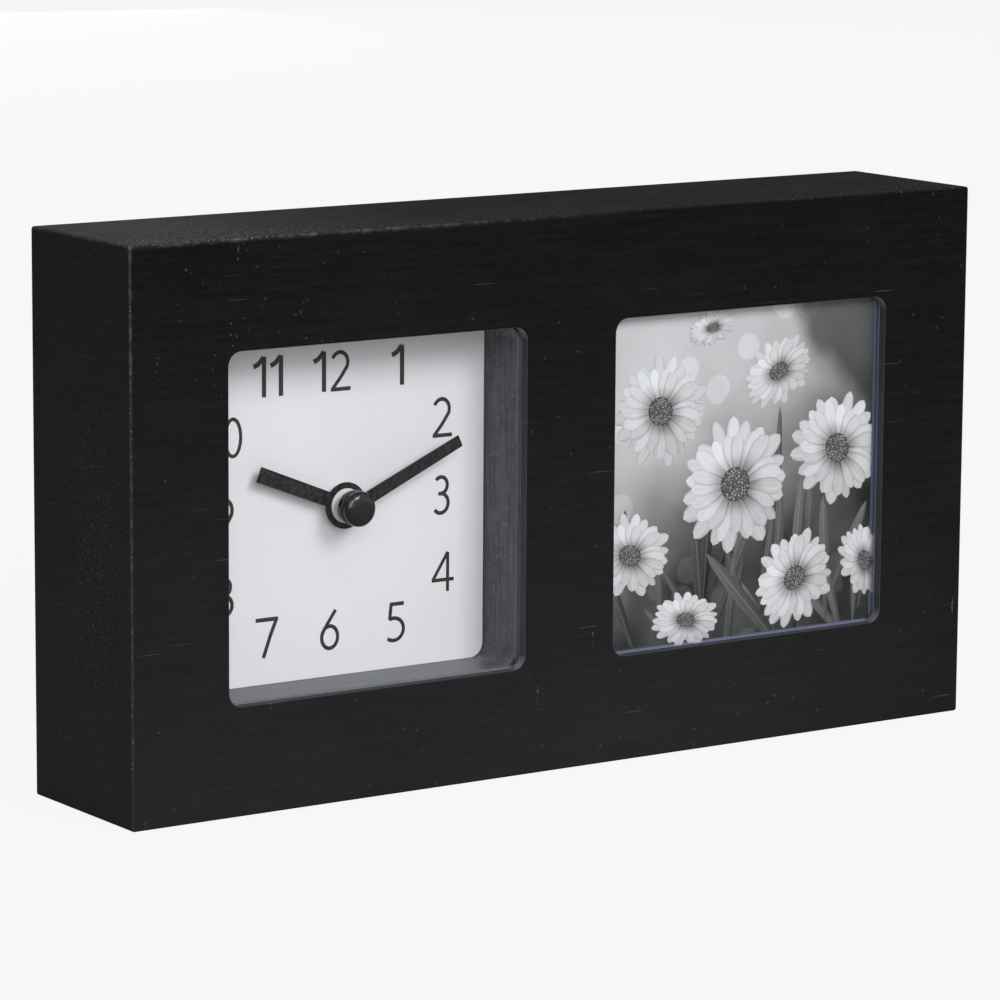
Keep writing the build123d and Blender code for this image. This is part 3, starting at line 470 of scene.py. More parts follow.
def screw_tree():
    tree, seeds = start_tree("cross_head_screw", "Head Radius", "Head Height", "Shank Radius",
                             "Shank Length")
    radius, height = seeds.beside("Head Radius"), seeds.beside("Head Height")
    ball = seeds.node("GeometryNodeMeshUVSphere", {}, {"Segments": head_sides, "Rings": head_sides // 2,
                                                       "Radius": 1.0})
    dome = moved(ball, Scale=seeds.xyz(radius, radius, height))
    block = seeds.node("GeometryNodeMeshCube", {}, {"Size": seeds.xyz(radius * 3, radius * 3, height * 2)})
    cuts = [moved(block, Translation=seeds.xyz(z=height * -1))]
    long, narrow = radius * recess_length_share, radius * recess_width_share
    for right, up in ((long, narrow), (narrow, long)):
        size = seeds.xyz(right, up, height * recess_depth_share * 2)
        bar = seeds.node("GeometryNodeMeshCube", {}, {"Size": size})
        cuts.append(moved(bar, Translation=seeds.xyz(z=height)))
    head = seeds.node("GeometryNodeMeshBoolean", {"operation": "DIFFERENCE"}, {"Mesh 1": dome,
                                                                              "Mesh 2": cuts})
    length = seeds.beside("Shank Length")
    shank = seeds.node("GeometryNodeMeshCylinder", {}, {"Vertices": shank_sides, "Depth": length,
                                                        "Radius": seeds.beside("Shank Radius")})
    shank = moved(shank, Translation=seeds.xyz(z=length * -0.5))
    screw = seeds.node("GeometryNodeJoinGeometry", {}, {0: [head, shank]})
    stand = seeds.xyz(-math.pi / 2, chance(seeds, 0.0, math.pi, 7))
    placed = seeds.node("GeometryNodeInstanceOnPoints", {}, {"Points": seeds, "Instance": screw,
                                                             "Rotation": stand})
    close_tree(placed, seeds)
    return tree


def plated_steel(name, shade, roughness):
    material, start = start_finish(name)
    place = own_place(start)
    cloud = noise(place, 500, 3)
    drawn = noise(own_place(start, (1, 1, 12)), 600, 2)
    colour = cloud.rise(0.3, 0.75).blend(shade, tuple(0.62 * level for level in shade[:3]) + (1,))
    close_finish(start, Base_Color=colour, Metallic=1.0, Roughness=roughness + (cloud - 0.5) * 0.25,
                 Normal=relief(drawn, 0.15, 0.00005))
    return material


bright_steel = plated_steel("zinc_plated_steel", (0.62, 0.62, 0.60, 1), 0.30)
screws = screw_tree()


def fit_screws(name, node, places, head_radius, head_height, shank_radius):
    """Screws in place of a CAD node, as long as that node is deep."""
    low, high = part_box(node)
    seat = high.y - head_height
    points = [(x, seat, z) for x, z in places]
    piece = grow(name, "case", screws, bright_steel, points, [], {},
                 Head_Radius=head_radius, Head_Height=head_height, Shank_Radius=shank_radius,
                 Shank_Length=seat - low.y)
    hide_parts(node)


def corner_places(node, head_radius):
    """The middles of the four round heads at the corners of a node's box."""
    low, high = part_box(node)
    return [(x, z) for x in (low.x + head_radius, high.x - head_radius)
            for z in (low.z + head_radius, high.z - head_radius)]


# Each kind's piece, node, head radius, head height and shank radius
for name, node, sizes in (("panel_screws", "back_panel_screws", (0.0026, 0.0014, 0.00125)),
                          ("button_screws", "turn_button_screws", (0.0022, 0.0011, 0.0010))):
    fit_screws(name, node, corner_places(node, sizes[0]), *sizes)

# Turn-buttons and contacts. Tongues and springs pressed from zinc-plated strip; each turn-button swings
# on its own screw and holds the photo backing in.
dress(plated_steel("pressed_strip", (0.55, 0.56, 0.55, 1), 0.38),
      "turn_button_1", "turn_button_2", "turn_button_3", "turn_button_4", "contact_plus", "contact_minus")


# Panes. Float glass cut square, its corners and rims ground, one behind each window and let into the
# frame behind it; its face mirrors the white room a little, and a line of painted light in the seam
# stands in for the light in its ground rim.
pane_corner = 0.0010
pane_grind = 0.0003
pane_inset = 0.00002
corner_steps = 5
seam_reach = 0.0011
seam_core = 0.0005


def closed_piece(name, points, faces):
    """A piece from points and faces, its doubles merged and its faces turned outward."""
    mesh = bpy.data.meshes.new(name)
    mesh.from_pydata(points, [], faces)
    work = bmesh.new()
    work.from_mesh(mesh)
    bmesh.ops.remove_doubles(work, verts=work.verts, dist=1e-7)
    bmesh.ops.recalc_face_normals(work, faces=work.faces)
    work.to_mesh(mesh)
    work.free()
    piece = bpy.data.objects.new(name, mesh)
    bpy.context.scene.collection.objects.link(piece)
    return piece


def slab(name, low, high, corner, grind):
    """A plate that faces the front, with rounded corners and a small ground bevel round both faces."""
    outline = []
    for quarter, (x, z) in enumerate(((high.x, high.z), (low.x, high.z), (low.x, low.z), (high.x, low.z))):
        inward = (corner if x == low.x else -corner, corner if z == low.z else -corner)
        for step in range(corner_steps + 1):
            turn = math.radians(90 * (quarter + step / corner_steps))
            outline.append((x + inward[0], z + inward[1], math.cos(turn), math.sin(turn)))
    points, faces = [], []
    for y, reach in ((low.y, corner - grind), (low.y + grind, corner), (high.y - grind, corner),
                     (high.y, corner - grind)):
        points.extend((x + reach * right, y, z + reach * up) for x, z, right, up in outline)
    count = len(outline)
    for ring in range(3):
        for step in range(count):
            after = (step + 1) % count
            faces.append((ring * count + step, ring * count + after,
                          (ring + 1) * count + after, (ring + 1) * count + step))
    faces.append(tuple(range(count)))
    faces.append(tuple(reversed(range(3 * count, 4 * count))))
    return closed_piece(name, points, faces)


def clear_glass(centre, reach, seam, cover, edge_light_shade):
    material, start = start_finish("clear_glass")
    place = own_place(start)
    x, _, z = place.split()
    haze = noise(place, 60, 3)
    across = start.math("MAXIMUM", abs(x - centre.x), abs(z - centre.z))
    facing = start.node("ShaderNodeNewGeometry", output="Backfacing")
    share = start.node("ShaderNodeFresnel", {}, {"IOR": 1.36}) * (1.0 - facing) * (0.55 + haze * 0.3)
    mirror = start.node("ShaderNodeBsdfGlossy", {}, {"Color": grey(1.0), "Roughness": 0.02})
    through = start.node("ShaderNodeBsdfTransparent", {}, {"Color": (0.99, 0.995, 0.993, 1)})
    pane = start.node("ShaderNodeMixShader", {}, {0: share, 1: through, 2: mirror})
    # Beyond the window the pane is bedded in the frame; a line of painted light there stands in for its rim
    painted_edge_light = abs(across - reach - seam).rise(seam_reach, seam_core) * (cover + haze * 0.3)
    rim = start.node("ShaderNodeBsdfDiffuse", {}, {"Color": edge_light_shade})
    whole = start.node("ShaderNodeMixShader", {}, {0: painted_edge_light, 1: pane, 2: rim})
    start.node("ShaderNodeOutputMaterial", {}, {"Surface": whole})
    return material


# Each pane's piece, node, and its seam line of painted light: how far out, how thick and of what shade
for name, node, seam, cover, edge_light_shade in (
        ("clock_pane", "clock_glass", 0.0007, 0.36, (0.30, 0.35, 0.37, 1)),
        ("photo_pane", "photo_glass", 0.0006, 0.72, (0.20, 0.23, 0.35, 1))):
    low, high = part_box(node)
    inset = Vector((0, pane_inset, 0))
    pane = slab(name, low + inset, high - inset, pane_corner, pane_grind)
    pane.data.materials.append(clear_glass((low + high) / 2, window_reach, seam, cover, edge_light_shade))
    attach(pane, "case")
    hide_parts(node)


# Dial. A white card with its twelve numerals printed in a warm near-black, in light strokes of even
# width, set out on a square; the print sits a little to the left of the hands' axis.
numeral_height = 0.0082
numeral_stroke = 0.00076
ink_thickness = 0.00003
stroke_sides = 8
arc_step = 9

# Where the middle of each hour's numeral stands, in millimetres from the hands' axis
numeral_places = {
    1: (14.0, 26.9), 2: (24.9, 15.5), 3: (24.9, -0.5), 4: (25.2, -16.5), 5: (13.8, -25.6),
    6: (-2.0, -25.6), 7: (-16.9, -25.6), 8: (-26.9, -16.4), 9: (-26.8, -0.5), 10: (-26.7, 15.4),
    11: (-16.6, 26.9), 12: (-1.7, 26.9)}


def line(*points):
    return [points]


def arc(centre, reach, begin, end):
    """Part of an ellipse from one angle to another, in degrees, as one stroke."""
    steps = max(2, round(abs(end - begin) / arc_step))
    turns = [math.radians(begin + (end - begin) * step / steps) for step in range(steps + 1)]
    return [tuple((centre[0] + reach[0] * math.cos(turn), centre[1] + reach[1] * math.sin(turn))
                  for turn in turns)]


# Each digit for a height of 1: its width, the weight and the lines of its strokes
digits = {
    "0": (0.58, 1.0, arc((0.27, 0.50), (0.24, 0.50), 0, 360)),
    "1": (0.41, 1.35, line((0.02, 0.79), (0.17, 0.86), (0.34, 1.04)) + line((0.345, 1.05), (0.345, -0.04))),
    "2": (0.60, 1.05, arc((0.27, 0.725), (0.25, 0.275), 155, -34)
          + line((0.483, 0.58), (0.28, 0.30), (0.02, 0.00)) + line((-0.02, 0.00), (0.61, 0.00))),
    "3": (0.52, 1.05, arc((0.22, 0.77), (0.205, 0.23), 140, -84) + line((0.13, 0.54), (0.25, 0.54))
          + arc((0.21, 0.27), (0.245, 0.27), 84, -142)),
    "4": (0.70, 1.0, line((0.50, 1.05), (0.30, 0.74), (0.01, 0.29)) + line((-0.02, 0.29), (0.70, 0.29))
          + line((0.50, 1.05), (0.50, -0.04))),
    "5": (0.60, 1.05, line((0.55, 1.00), (0.11, 1.00)) + line((0.14, 1.03), (0.09, 0.57))
          + arc((0.22, 0.30), (0.32, 0.31), 116, -128)),
    "6": (0.60, 1.05, arc((0.28, 0.305), (0.255, 0.305), 0, 360)
          + line((0.47, 1.04), (0.28, 0.78), (0.11, 0.54), (0.045, 0.40))),
    "7": (0.68, 1.1, line((-0.02, 1.00), (0.68, 1.00)) + line((0.65, 1.03), (0.44, 0.55), (0.22, -0.04))),
    "8": (0.56, 1.1, arc((0.27, 0.77), (0.21, 0.23), 0, 360) + arc((0.27, 0.27), (0.26, 0.27), 0, 360)),
    "9": (0.60, 1.1, arc((0.29, 0.695), (0.255, 0.305), 0, 360)
          + line((0.10, -0.04), (0.29, 0.22), (0.46, 0.46), (0.525, 0.60))),
}
digit_gap = {"11": 0.12, "12": 0.17, "10": 0.16}


def joined(strokes, depth):
    """Points, edges and marks of strokes at one depth, each given by its weight and its places."""
    points, edges, weights = [], [], []
    for weight, places in strokes:
        for step, (x, z) in enumerate(places):
            points.append((x, depth, z))
            weights.append(weight)
            if step:
                edges.append((len(points) - 2, len(points) - 1))
    return points, edges, {"weight": weights}


def dial_strokes(middle):
    """The strokes of the twelve numerals."""
    strokes = []
    reach = numeral_height - numeral_stroke
    for hour, (across, up) in numeral_places.items():
        name = str(hour)
        gap = reach * digit_gap.get(name, 0)
        width = reach * sum(digits[digit][0] for digit in name) + gap
        left = middle.x + across / 1000 - width / 2
        foot = middle.z + up / 1000 - reach / 2
        for digit in name:
            digit_width, weight, lines = digits[digit]
            strokes += [(weight, [(left + reach * right, foot + reach * rise) for right, rise in stroke])
                        for stroke in lines]
            left += reach * digit_width + gap
    return strokes


def mark(seeds, name):
    return seeds.node("GeometryNodeInputNamedAttribute", {"data_type": "FLOAT"}, {"Name": name})


def stroke_tree():
    """Lines swept to flat strokes that lie on a plane of one depth."""
    tree, seeds = start_tree("printed_strokes", "Stroke Width", "Thickness", "Plane Depth")
    lines = seeds.node("GeometryNodeMeshToCurve", {}, {0: seeds})
    weight = mark(seeds, "weight")
    pen = seeds.node("GeometryNodeCurvePrimitiveCircle", {}, {"Resolution": stroke_sides,
                                                              "Radius": seeds.beside("Stroke Width") * 0.5})
    swept = seeds.node("GeometryNodeCurveToMesh", {}, {"Curve": lines, "Profile Curve": pen, "Scale": weight,
                                                       "Fill Caps": True})
    x, y, z = seeds.node("GeometryNodeInputPosition").split()
    plane = seeds.beside("Plane Depth")
    squeeze = seeds.beside("Thickness") / seeds.beside("Stroke Width")
    depth = plane + (y - plane) * squeeze - seeds.beside("Thickness") * 0.5
    flat = seeds.node("GeometryNodeSetPosition", {}, {"Geometry": swept, "Position": seeds.xyz(x, depth, z)})
    close_tree(flat, seeds)
    return tree


def printed_ink():
    material, start = start_finish("printed_ink")
    mottle = noise(own_place(start), 2600, 3)
    colour = mottle.rise(0.3, 0.7).blend((0.018, 0.017, 0.019, 1), (0.042, 0.040, 0.042, 1))
    close_finish(start, Base_Color=colour, Roughness=0.55 + (mottle - 0.5) * 0.2, Specular_IOR_Level=0.3)
    return material


def white_card():
    material, start = start_finish("white_card")
    place = own_place(start)
    tooth = noise(place, 2200, 3)
    cloud = noise(place, 22, 2)
    colour = cloud.rise(0.35, 0.7).blend((0.850, 0.838, 0.878, 1), (0.815, 0.800, 0.836, 1))
    close_finish(start, Base_Color=colour, Roughness=0.62 + (tooth - 0.5) * 0.12, Specular_IOR_Level=0.3,
                 Normal=relief(tooth, 0.08, 0.00004))
    return material


swept_strokes = stroke_tree()
axis_low, axis_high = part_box("minute_pipe")
ink = grow("dial_numerals", "case", swept_strokes, printed_ink(),
           *joined(dial_strokes((axis_low + axis_high) / 2), card_low.y),
           Stroke_Width=numeral_stroke, Thickness=ink_thickness, Plane_Depth=card_low.y)
dress(white_card(), "dial_card")


# Hands. Straight sticks blanked from thin sheet and lacquered satin black; the hour hand's ring is
# pressed on a white bush, the minute hand is held by a moulded cap.
def lacquer():
    material, start = start_finish("satin_lacquer")
    place = own_place(start)
    peel = noise(place, 1300, 2)
    mottle = noise(place, 1700, 2, 0.6)
    dot, pick = cells(place, 1500)
    lint = dot.rise(0.22, 0.10) * pick.rise(0.90, 0.95)
    colour = mottle.rise(0.36, 0.66).blend((0.008, 0.008, 0.009, 1), (0.034, 0.035, 0.038, 1))
    colour = (lint * 0.35).blend(colour, (0.14, 0.14, 0.14, 1))
    close_finish(start, Base_Color=colour, Roughness=0.44 + (peel - 0.5) * 0.2, Specular_IOR_Level=0.12,
                 Normal=relief(peel + mottle, 0.25, 0.00005))
    return material


def moulded(name, shade, roughness, texture_scale, sparkle=0.2, **inputs):
    """Injection-moulded plastic with the fine texture of its mould."""
    material, start = start_finish(name)
    place = own_place(start)
    spark = noise(place, texture_scale, 2)
    flow = noise(own_place(start, (1, 1, 3)), 60, 2)
    lighter = tuple(min(1.0, level * 1.25 + 0.002) for level in shade[:3]) + (1,)
    colour = (flow * 0.7 + spark * 0.3).rise(0.35, 0.7).blend(shade, lighter)
    close_finish(start, Base_Color=colour, Roughness=roughness + (spark - 0.5) * 0.18,
                 Normal=relief(spark, sparkle, 0.00008), **inputs)
    return material


dress(lacquer(), "hour_hand", "minute_hand")
white_acetal = moulded("white_acetal", (0.72, 0.72, 0.73, 1), 0.38, 700, 0.1)
dress(white_acetal, "hour_bush", "hour_wheel", "minute_pipe", "centre_wheel", "third_wheel",
      "seconds_wheel", "transfer_wheel", "motion_wheel", "rotor_pinion", "train_bridge")

# Cap. A glossy button with a softly rounded front, moulded in one with the skirt that hides the hole;
# a groove parts the two.
cap_rim = (0.0021, 0.0013)
cap_edge = (0.0003, 0.0003)
cap_groove_depth = 0.0020
cap_groove_width = 0.0003
cap_bore_share = 0.44
cap_sides = 72
cap_sharp_angle = 35
round_steps = 8
cap_low, cap_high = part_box("hand_cap")


def lathe(name, middle, axis, outline, sides):
    """A closed round piece; its outline runs as pairs of radius and distance along the axis."""
    along = Vector(axis)
    across = along.orthogonal().normalized()
    up = along.cross(across)
    points = []
    for radius, distance in outline:
        for side in range(sides):
            turn = 2 * math.pi * side / sides
            out = across * math.cos(turn) + up * math.sin(turn)
            points.append(middle + along * distance + out * radius)
    faces = []
    for ring in range(len(outline)):
        following = (ring + 1) % len(outline)
        for side in range(sides):
            after = (side + 1) % sides
            faces.append((ring * sides + side, ring * sides + after,
                          following * sides + after, following * sides + side))
    piece = closed_piece(name, points, faces)
    piece.data.shade_smooth()
    piece.data.set_sharp_from_angle(angle=math.radians(cap_sharp_angle))
    return piece


def rounded(radius, distance, rim, inward):
    """Outline points round a rim, inward and along the axis, from the side of a piece on to its end."""
    turns = [math.pi / 2 * step / round_steps for step in range(round_steps + 1)]
    return [(radius - rim[0] * (1 - math.cos(turn)), distance + inward * rim[1] * (1 - math.sin(turn)))
            for turn in turns]


cap_radius = (cap_high.x - cap_low.x) / 2
cap_height = cap_high.y - cap_low.y
cap_bore = cap_radius * cap_bore_share
groove_end = cap_groove_depth + cap_groove_width
cap_outline = ([(cap_bore, cap_height), (cap_radius, cap_height)]
               + rounded(cap_radius, groove_end, cap_edge, 1)
               + list(reversed(rounded(cap_radius, cap_groove_depth, cap_edge, -1)))
               + rounded(cap_radius, 0, cap_rim, 1)
               + [(0, 0), (0, cap_height * 0.7), (cap_bore, cap_height * 0.7)])
cap = lathe("centre_cap", Vector(((cap_low.x + cap_high.x) / 2, cap_low.y, (cap_low.z + cap_high.z) / 2)),
            (0, 1, 0), cap_outline, cap_sides)
cap.data.materials.append(moulded("glossy_black", (0.006, 0.0065, 0.0075, 1), 0.07, 900, 0.04,
                                  Specular_IOR_Level=0.38))
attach(cap, "minute")
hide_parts("hand_cap")

# Print. Semi-gloss paper with a black and white picture of daisies and their long leaves, the ground
# behind them out of focus; its motifs lie over one another like layers of ink.
sheet_thickness = 0.00024
layer_gap = 0.000004
petals_round = 19
petal_root = 0.20
petal_width = 0.150
florets = 80
floret_radius = 0.0225
floret_spread = 0.25
middle_radius = 0.265
golden_turn = math.radians(137.5)
leaf_count = 34
leaf_seed = 12
leaf_width = 0.0032
leaf_layers = 6
daisy_layers = 5
picture_half = 0.038
sheet_corner = 0.0003
sheet_cut = 0.00002
sheet_low, sheet_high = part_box("photo_print")
sheet_middle = (sheet_low + sheet_high) / 2
sheet_front = sheet_high.y - sheet_thickness

# Place from the sheet's middle and radius in millimetres, height in share of width, turn in degrees
daisies = ((-21.0, 14.5, 11.8, 0.94, 20), (9.5, 20.5, 9.4, 0.70, -25), (25.5, 3.0, 12.4, 0.90, 40),
           (-1.5, -2.5, 14.2, 0.96, 0), (-28.5, -15.0, 10.6, 0.78, 15), (14.5, -24.0, 11.0, 0.84, -35),
           (-14.0, -30.0, 9.0, 0.62, 10), (33.5, -22.0, 8.6, 0.74, 60), (-8.0, 31.0, 6.2, 0.55, -10))


def keep_mark(geometry, name, value, domain="POINT"):
    return geometry.node("GeometryNodeStoreNamedAttribute", {"data_type": "FLOAT", "domain": domain},
                         {"Geometry": geometry, "Name": name, "Value": value})


def blade(seeds, root, width, fullness, bend=0.0):
    """A flat petal or leaf from its root out along X, one unit long; it keeps how far along and across."""
    grid = seeds.node("GeometryNodeMeshGrid", {}, {"Size X": 1.0, "Size Y": 1.0, "Vertices X": 15,
                                                   "Vertices Y": 7})
    x, y, _ = seeds.node("GeometryNodeInputPosition").split()
    grid = keep_mark(keep_mark(grid, "along", x + 0.5), "across", y * 2.0)
    along, across = mark(seeds, "along"), mark(seeds, "across")
    tip = seeds.math("SQRT", 1.0 - seeds.math("POWER", along, fullness))
    half = along.rise(-0.25, 0.75) * tip * width
    shape = seeds.xyz(along * (1 - root) + root, (across + along) * -0.45 * layer_gap,
                      across * half + along * along * bend)
    return seeds.node("GeometryNodeSetPosition", {}, {"Geometry": grid, "Position": shape})


def set_out(points, motif, size, height, turn):
    """The motif on every point, in the plane of the print."""
    return points.node("GeometryNodeInstanceOnPoints", {}, {
        "Points": points, "Instance": motif, "Rotation": points.xyz(y=turn),
        "Scale": points.xyz(size, 1.0, height)})


def daisy_tree():
    tree, seeds = start_tree("printed_daisy", "Layer Gap")
    gap = seeds.beside("Layer Gap")
    index = seeds.node("GeometryNodeInputIndex")
    petal = blade(seeds, petal_root, petal_width, 5.0)
    rings = []
    for layer, (reach, offset) in enumerate(((1.0, 0.0), (0.86, 0.5))):
        points = seeds.node("GeometryNodePoints", {}, {"Count": petals_round})
        turn = (index + offset) * (2 * math.pi / petals_round) + chance(seeds, -0.07, 0.07, 3 + layer)
        ring = set_out(points, petal, chance(seeds, 0.90, 1.08, 8 + layer) * reach,
                       chance(seeds, 0.85, 1.15, 12), turn * -1.0)
        lit = seeds.math("COSINE", turn - 2.2) * 0.5 + chance(seeds, -0.4, 0.4, 20 + layer)
        ring = keep_mark(ring, "tone", lit + layer * 0.25, "INSTANCE")
        rings.append(moved(ring, Translation=seeds.xyz(y=gap * -1.2 * layer)))
    # The middle: florets on a spiral over a dark round
    points = seeds.node("GeometryNodePoints", {}, {"Count": florets})
    out = seeds.math("SQRT", index / florets) * floret_spread
    turn = index * golden_turn
    spiral = seeds.xyz(out * seeds.math("COSINE", turn), gap * -3.2, out * seeds.math("SINE", turn))
    points = seeds.node("GeometryNodeSetPosition", {}, {"Geometry": points, "Position": spiral})
    stand = (math.pi / 2, 0, 0)
    floret = seeds.node("GeometryNodeMeshCircle", {"fill_type": "NGON"}, {"Vertices": 6,
                                                                          "Radius": floret_radius})
    middle = seeds.node("GeometryNodeInstanceOnPoints", {}, {"Points": points, "Instance": floret,
                                                             "Rotation": stand})
    middle = keep_mark(middle, "along", -1.0, "INSTANCE")
    middle = keep_mark(middle, "tone", chance(seeds, 0.0, 1.0, 31), "INSTANCE")
    ground = seeds.node("GeometryNodeMeshCircle", {"fill_type": "NGON"}, {"Vertices": 40,
                                                                          "Radius": middle_radius})
    ground = moved(ground, Rotation=stand, Translation=seeds.xyz(y=gap * -2.7))
    ground = keep_mark(keep_mark(ground, "along", -1.0), "tone", -0.6)
    flower = seeds.node("GeometryNodeJoinGeometry", {}, {0: rings + [ground, middle]})
    size = mark(seeds, "size")
    close_tree(set_out(seeds, flower, size, size * mark(seeds, "tilt"), mark(seeds, "turn")), seeds)
    return tree


def leaf_tree():
    tree, seeds = start_tree("printed_leaves", "Width")
    leaf = blade(seeds, 0.0, 0.5, 2.4, 0.10)
    placed = set_out(seeds, leaf, mark(seeds, "size"), seeds.beside("Width") * chance(seeds, 0.6, 1.3, 5),
                     mark(seeds, "turn") * -1.0)
    placed = keep_mark(placed, "tone", chance(seeds, -1.0, 1.0, 9), "INSTANCE")
    close_tree(placed, seeds)
    return tree


def toned_paper(start, material, level):
    """Closes a finish of ink on semi-gloss paper, as light as a level between 0 and 1 says."""
    place = own_place(start)
    grain = noise(place, 3600, 2)
    toned = (level + (grain - 0.5) * 0.09).blend(grey(0.006), (0.95, 0.95, 0.985, 1))
    close_finish(start, Base_Color=toned, Roughness=0.38 + (grain - 0.5) * 0.06, Specular_IOR_Level=0.22)
    return material


def kept_marks(start):
    """How far along and across a petal or leaf a point is, and its own tone."""
    return [start.node("ShaderNodeAttribute", {"attribute_name": name}, {}, "Fac")
            for name in ("along", "across", "tone")]


def petal_ink():
    material, start = start_finish("petal_ink")
    along, across, tone = kept_marks(start)
    veins = noise(start.xyz(along * 1.5, across * 5.0, tone * 30.0), 1.0, 3)
    level = 0.17 + along.rise(0.0, 0.60) * 0.50 + tone * 0.19 + (veins - 0.5) * 0.32
    level = level - abs(across).rise(0.55, 1.0) * 0.16
    middle = 0.05 + tone.rise(-0.2, 1.0) * 0.30 + (noise(own_place(start), 2400, 2) - 0.5) * 0.10
    both = start.node("ShaderNodeMix", {"data_type": "FLOAT"}, {0: along.rise(-0.2, -0.8), 2: level,
                                                                3: middle})
    return toned_paper(start, material, both)


def leaf_ink():
    material, start = start_finish("leaf_ink")
    along, across, tone = kept_marks(start)
    rib = abs(across).rise(0.16, 0.0)
    level = 0.055 + tone * 0.045 + rib * 0.10 + along.rise(0.2, 1.1) * 0.08 + across * 0.03
    return toned_paper(start, material, level)


def blurred_ground(middle, half):
    material, start = start_finish("blurred_ground")
    place = own_place(start)
    x, _, z = place.split()
    right, up = (x - middle.x) / half, (z - middle.z) / half
    drift = noise(place, 34, 3, 0.5) - 0.5
    soft = noise(place, 75, 1) - 0.5
    sky = (up * 0.95 - right * 0.46 + 0.05 + drift * 1.3).rise(-0.50, 0.85)
    shade = (right * 0.9 + up * 0.7 - 0.72 + drift * 1.2).rise(0.02, 0.30)
    spot, pick = cells(place, 120)
    spot = spot.rise(0.40, 0.34) * pick.rise(0.45, 0.60) * 0.10
    level = 0.040 + sky * 0.60 + soft * 0.16 + spot * (0.4 + sky)
    level = level * (1.0 - shade * 0.80)
    return toned_paper(start, material, level)


def scattered(middle, count, seed):
    """Leaves that rise from the foot of the picture: their roots, lengths and turns."""
    order = random.Random(seed)
    points, sizes, turns = [], [], []
    for each in range(count):
        points.append((middle.x + order.uniform(-0.036, 0.036), sheet_front - layer_gap * (1 + each * 0.1),
                       middle.z + order.uniform(-0.045, -0.020)))
        sizes.append(order.uniform(0.018, 0.036))
        turns.append(math.radians(order.gauss(92, 26)))
    return points, {"size": sizes, "turn": turns}


sheet = slab("print_sheet", Vector((sheet_low.x, sheet_front, sheet_low.z)), sheet_high, sheet_corner,
             sheet_cut)
sheet.data.materials.append(blurred_ground(sheet_middle, picture_half))
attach(sheet, "case")
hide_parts("photo_print")

points, marks = scattered(sheet_middle, leaf_count, leaf_seed)
leaves = grow("print_leaves", "case", leaf_tree(), leaf_ink(), points, [], marks, Width=leaf_width)
points = [(sheet_middle.x + across / 1000, sheet_front - layer_gap * (leaf_layers + daisy_layers * count),
           sheet_middle.z + up / 1000) for count, (across, up, *_) in enumerate(daisies)]
marks = {"size": [each[2] / 1000 for each in daisies], "tilt": [each[3] for each in daisies],
         "turn": [math.radians(each[4]) for each in daisies]}
flowers = grow("print_daisies", "case", daisy_tree(), petal_ink(), points, [], marks, Layer_Gap=layer_gap)


# Movement. Its housing, cover and knob are moulded in black, with a raised arrow that says which way to
# turn the knob and signs for the cell's ends; a foam pad sticks it to the dial board.
mark_stroke = 0.0007
mark_rise = 0.0002
arrow_reach = 0.0088
arrow_span = (216, 324)
sign_reach = 0.0018
sign_above_cell = 0.0108
sign_from_end = 0.0042
_, cover_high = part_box("movement_cover")
knob_low, knob_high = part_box("set_knob")
cell_low, cell_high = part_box("battery")


def arrow_strokes(centre):
    """A bent arrow round the knob, seen from behind."""
    turns = [math.radians(angle) for angle in range(arrow_span[0], arrow_span[1] + 1, 4)]
    bow = [(centre.x + arrow_reach * math.cos(turn), centre.z + arrow_reach * math.sin(turn))
           for turn in turns]
    (tip_x, tip_z), (back_x, back_z) = bow[0], bow[3]
    along_x, along_z = back_x - tip_x, back_z - tip_z
    head = [(tip_x + along_x * 0.9 + side * along_z * 0.6, tip_z + along_z * 0.9 - side * along_x * 0.6)
            for side in (1, -1)]
    return [(1.0, bow), (1.0, [head[0], bow[0], head[1]])]


def cross_bars(x, z, signs):
    """A minus sign, or with two signs a plus."""
    level, upright = [(x - sign_reach, z), (x + sign_reach, z)], [(x, z - sign_reach), (x, z + sign_reach)]
    return [(1.0, level), (1.0, upright)][:signs]


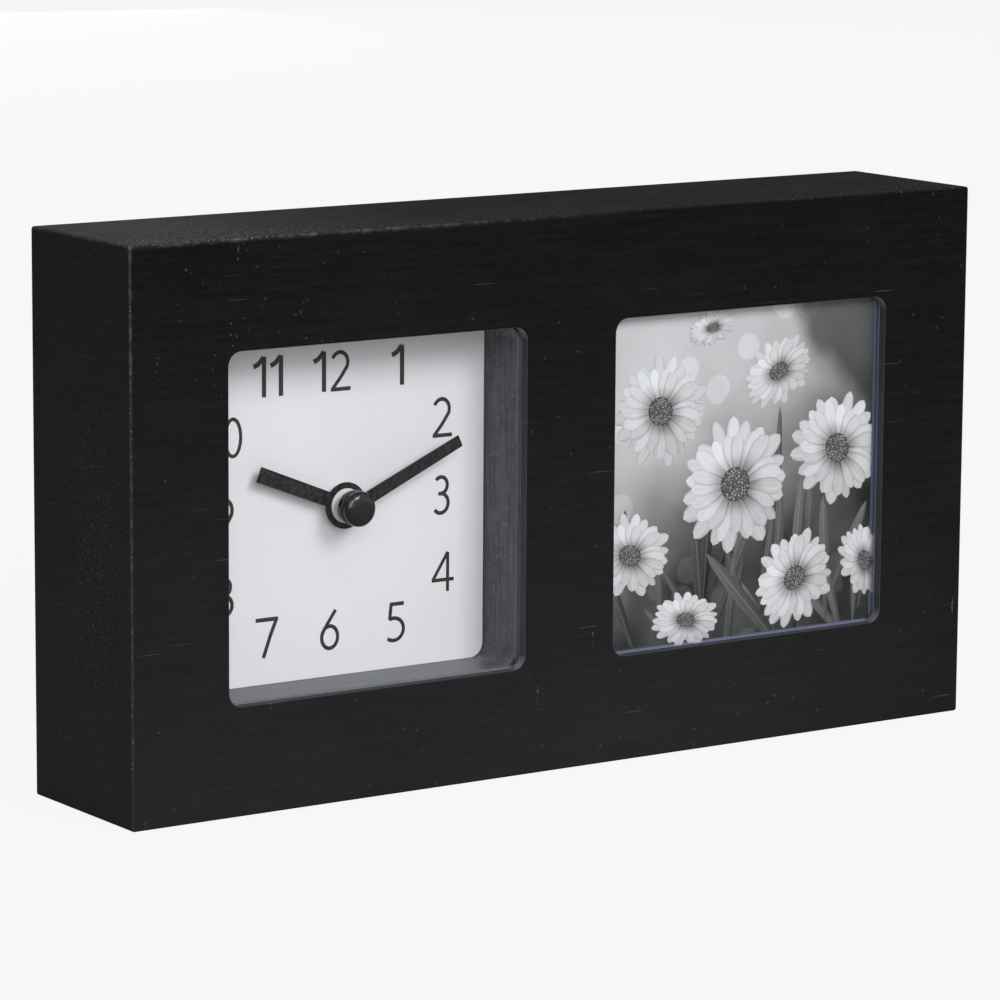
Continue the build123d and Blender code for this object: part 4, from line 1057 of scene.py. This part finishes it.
black_moulding = moulded("black_moulding", (0.020, 0.020, 0.021, 1), 0.42, 1500)
sign_level = (cell_low.z + cell_high.z) / 2 + sign_above_cell
raised = (arrow_strokes((knob_low + knob_high) / 2)
          + cross_bars(cell_low.x + sign_from_end, sign_level, 1)
          + cross_bars(cell_high.x - sign_from_end, sign_level, 2))
plane = cover_high.y + mark_rise * 0.9
worn_tops = moulded("worn_moulding", (0.075, 0.075, 0.077, 1), 0.38, 1500)
marks_on_cover = grow("cover_marks", "case", swept_strokes, worn_tops, *joined(raised, plane),
                      Stroke_Width=mark_stroke, Thickness=mark_rise, Plane_Depth=plane)
dress(black_moulding, "movement_case", "movement_cover", "coil_bobbin")
dress(moulded("knob_moulding", (0.040, 0.040, 0.042, 1), 0.50, 1100), "set_knob", "set_stem")
dress(moulded("foam", (0.45, 0.45, 0.43, 1), 0.9, 2400, 0.6), "movement_pad")
dress(moulded("potting_resin", (0.010, 0.010, 0.010, 1), 0.25, 500), "controller_chip")
dress(moulded("solder_mask", (0.02, 0.13, 0.05, 1), 0.35, 300), "circuit_board")
dress(plated_steel("soft_iron", (0.34, 0.34, 0.35, 1), 0.45), "stator", "coil_core")
dress(plated_steel("sintered_magnet", (0.10, 0.10, 0.11, 1), 0.5), "rotor_magnet")
dress(plated_steel("enamelled_copper", (0.60, 0.24, 0.10, 1), 0.3), "coil_winding")
dress(bright_steel, "quartz_crystal")

# Cell. A plain steel can in a shrunk sleeve of two colours, bare at both ends.
sleeve_end = 0.0016
band_share = 0.28
print_blur = 0.0001


def shrunk_sleeve():
    material, start = start_finish("shrunk_sleeve")
    place = own_place(start)
    x, _, _ = place.split()
    cloud = noise(place, 300, 2)
    middle, half = (cell_low.x + cell_high.x) / 2, (cell_high.x - cell_low.x) / 2
    end, border = half - sleeve_end, cell_high.x - half * band_share * 2
    bare = abs(x - middle).rise(end - print_blur, end + print_blur)
    band = x.rise(border - print_blur, border + print_blur)
    colour = band.blend((0.018, 0.045, 0.040, 1), (0.52, 0.52, 0.50, 1))
    colour = bare.blend(colour, (0.60, 0.60, 0.58, 1))
    close_finish(start, Base_Color=colour, Metallic=bare, Roughness=0.26 + (cloud - 0.5) * 0.2,
                 Specular_IOR_Level=0.5, Normal=relief(cloud, 0.08, 0.0001))
    return material


dress(shrunk_sleeve(), "battery")

low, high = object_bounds()
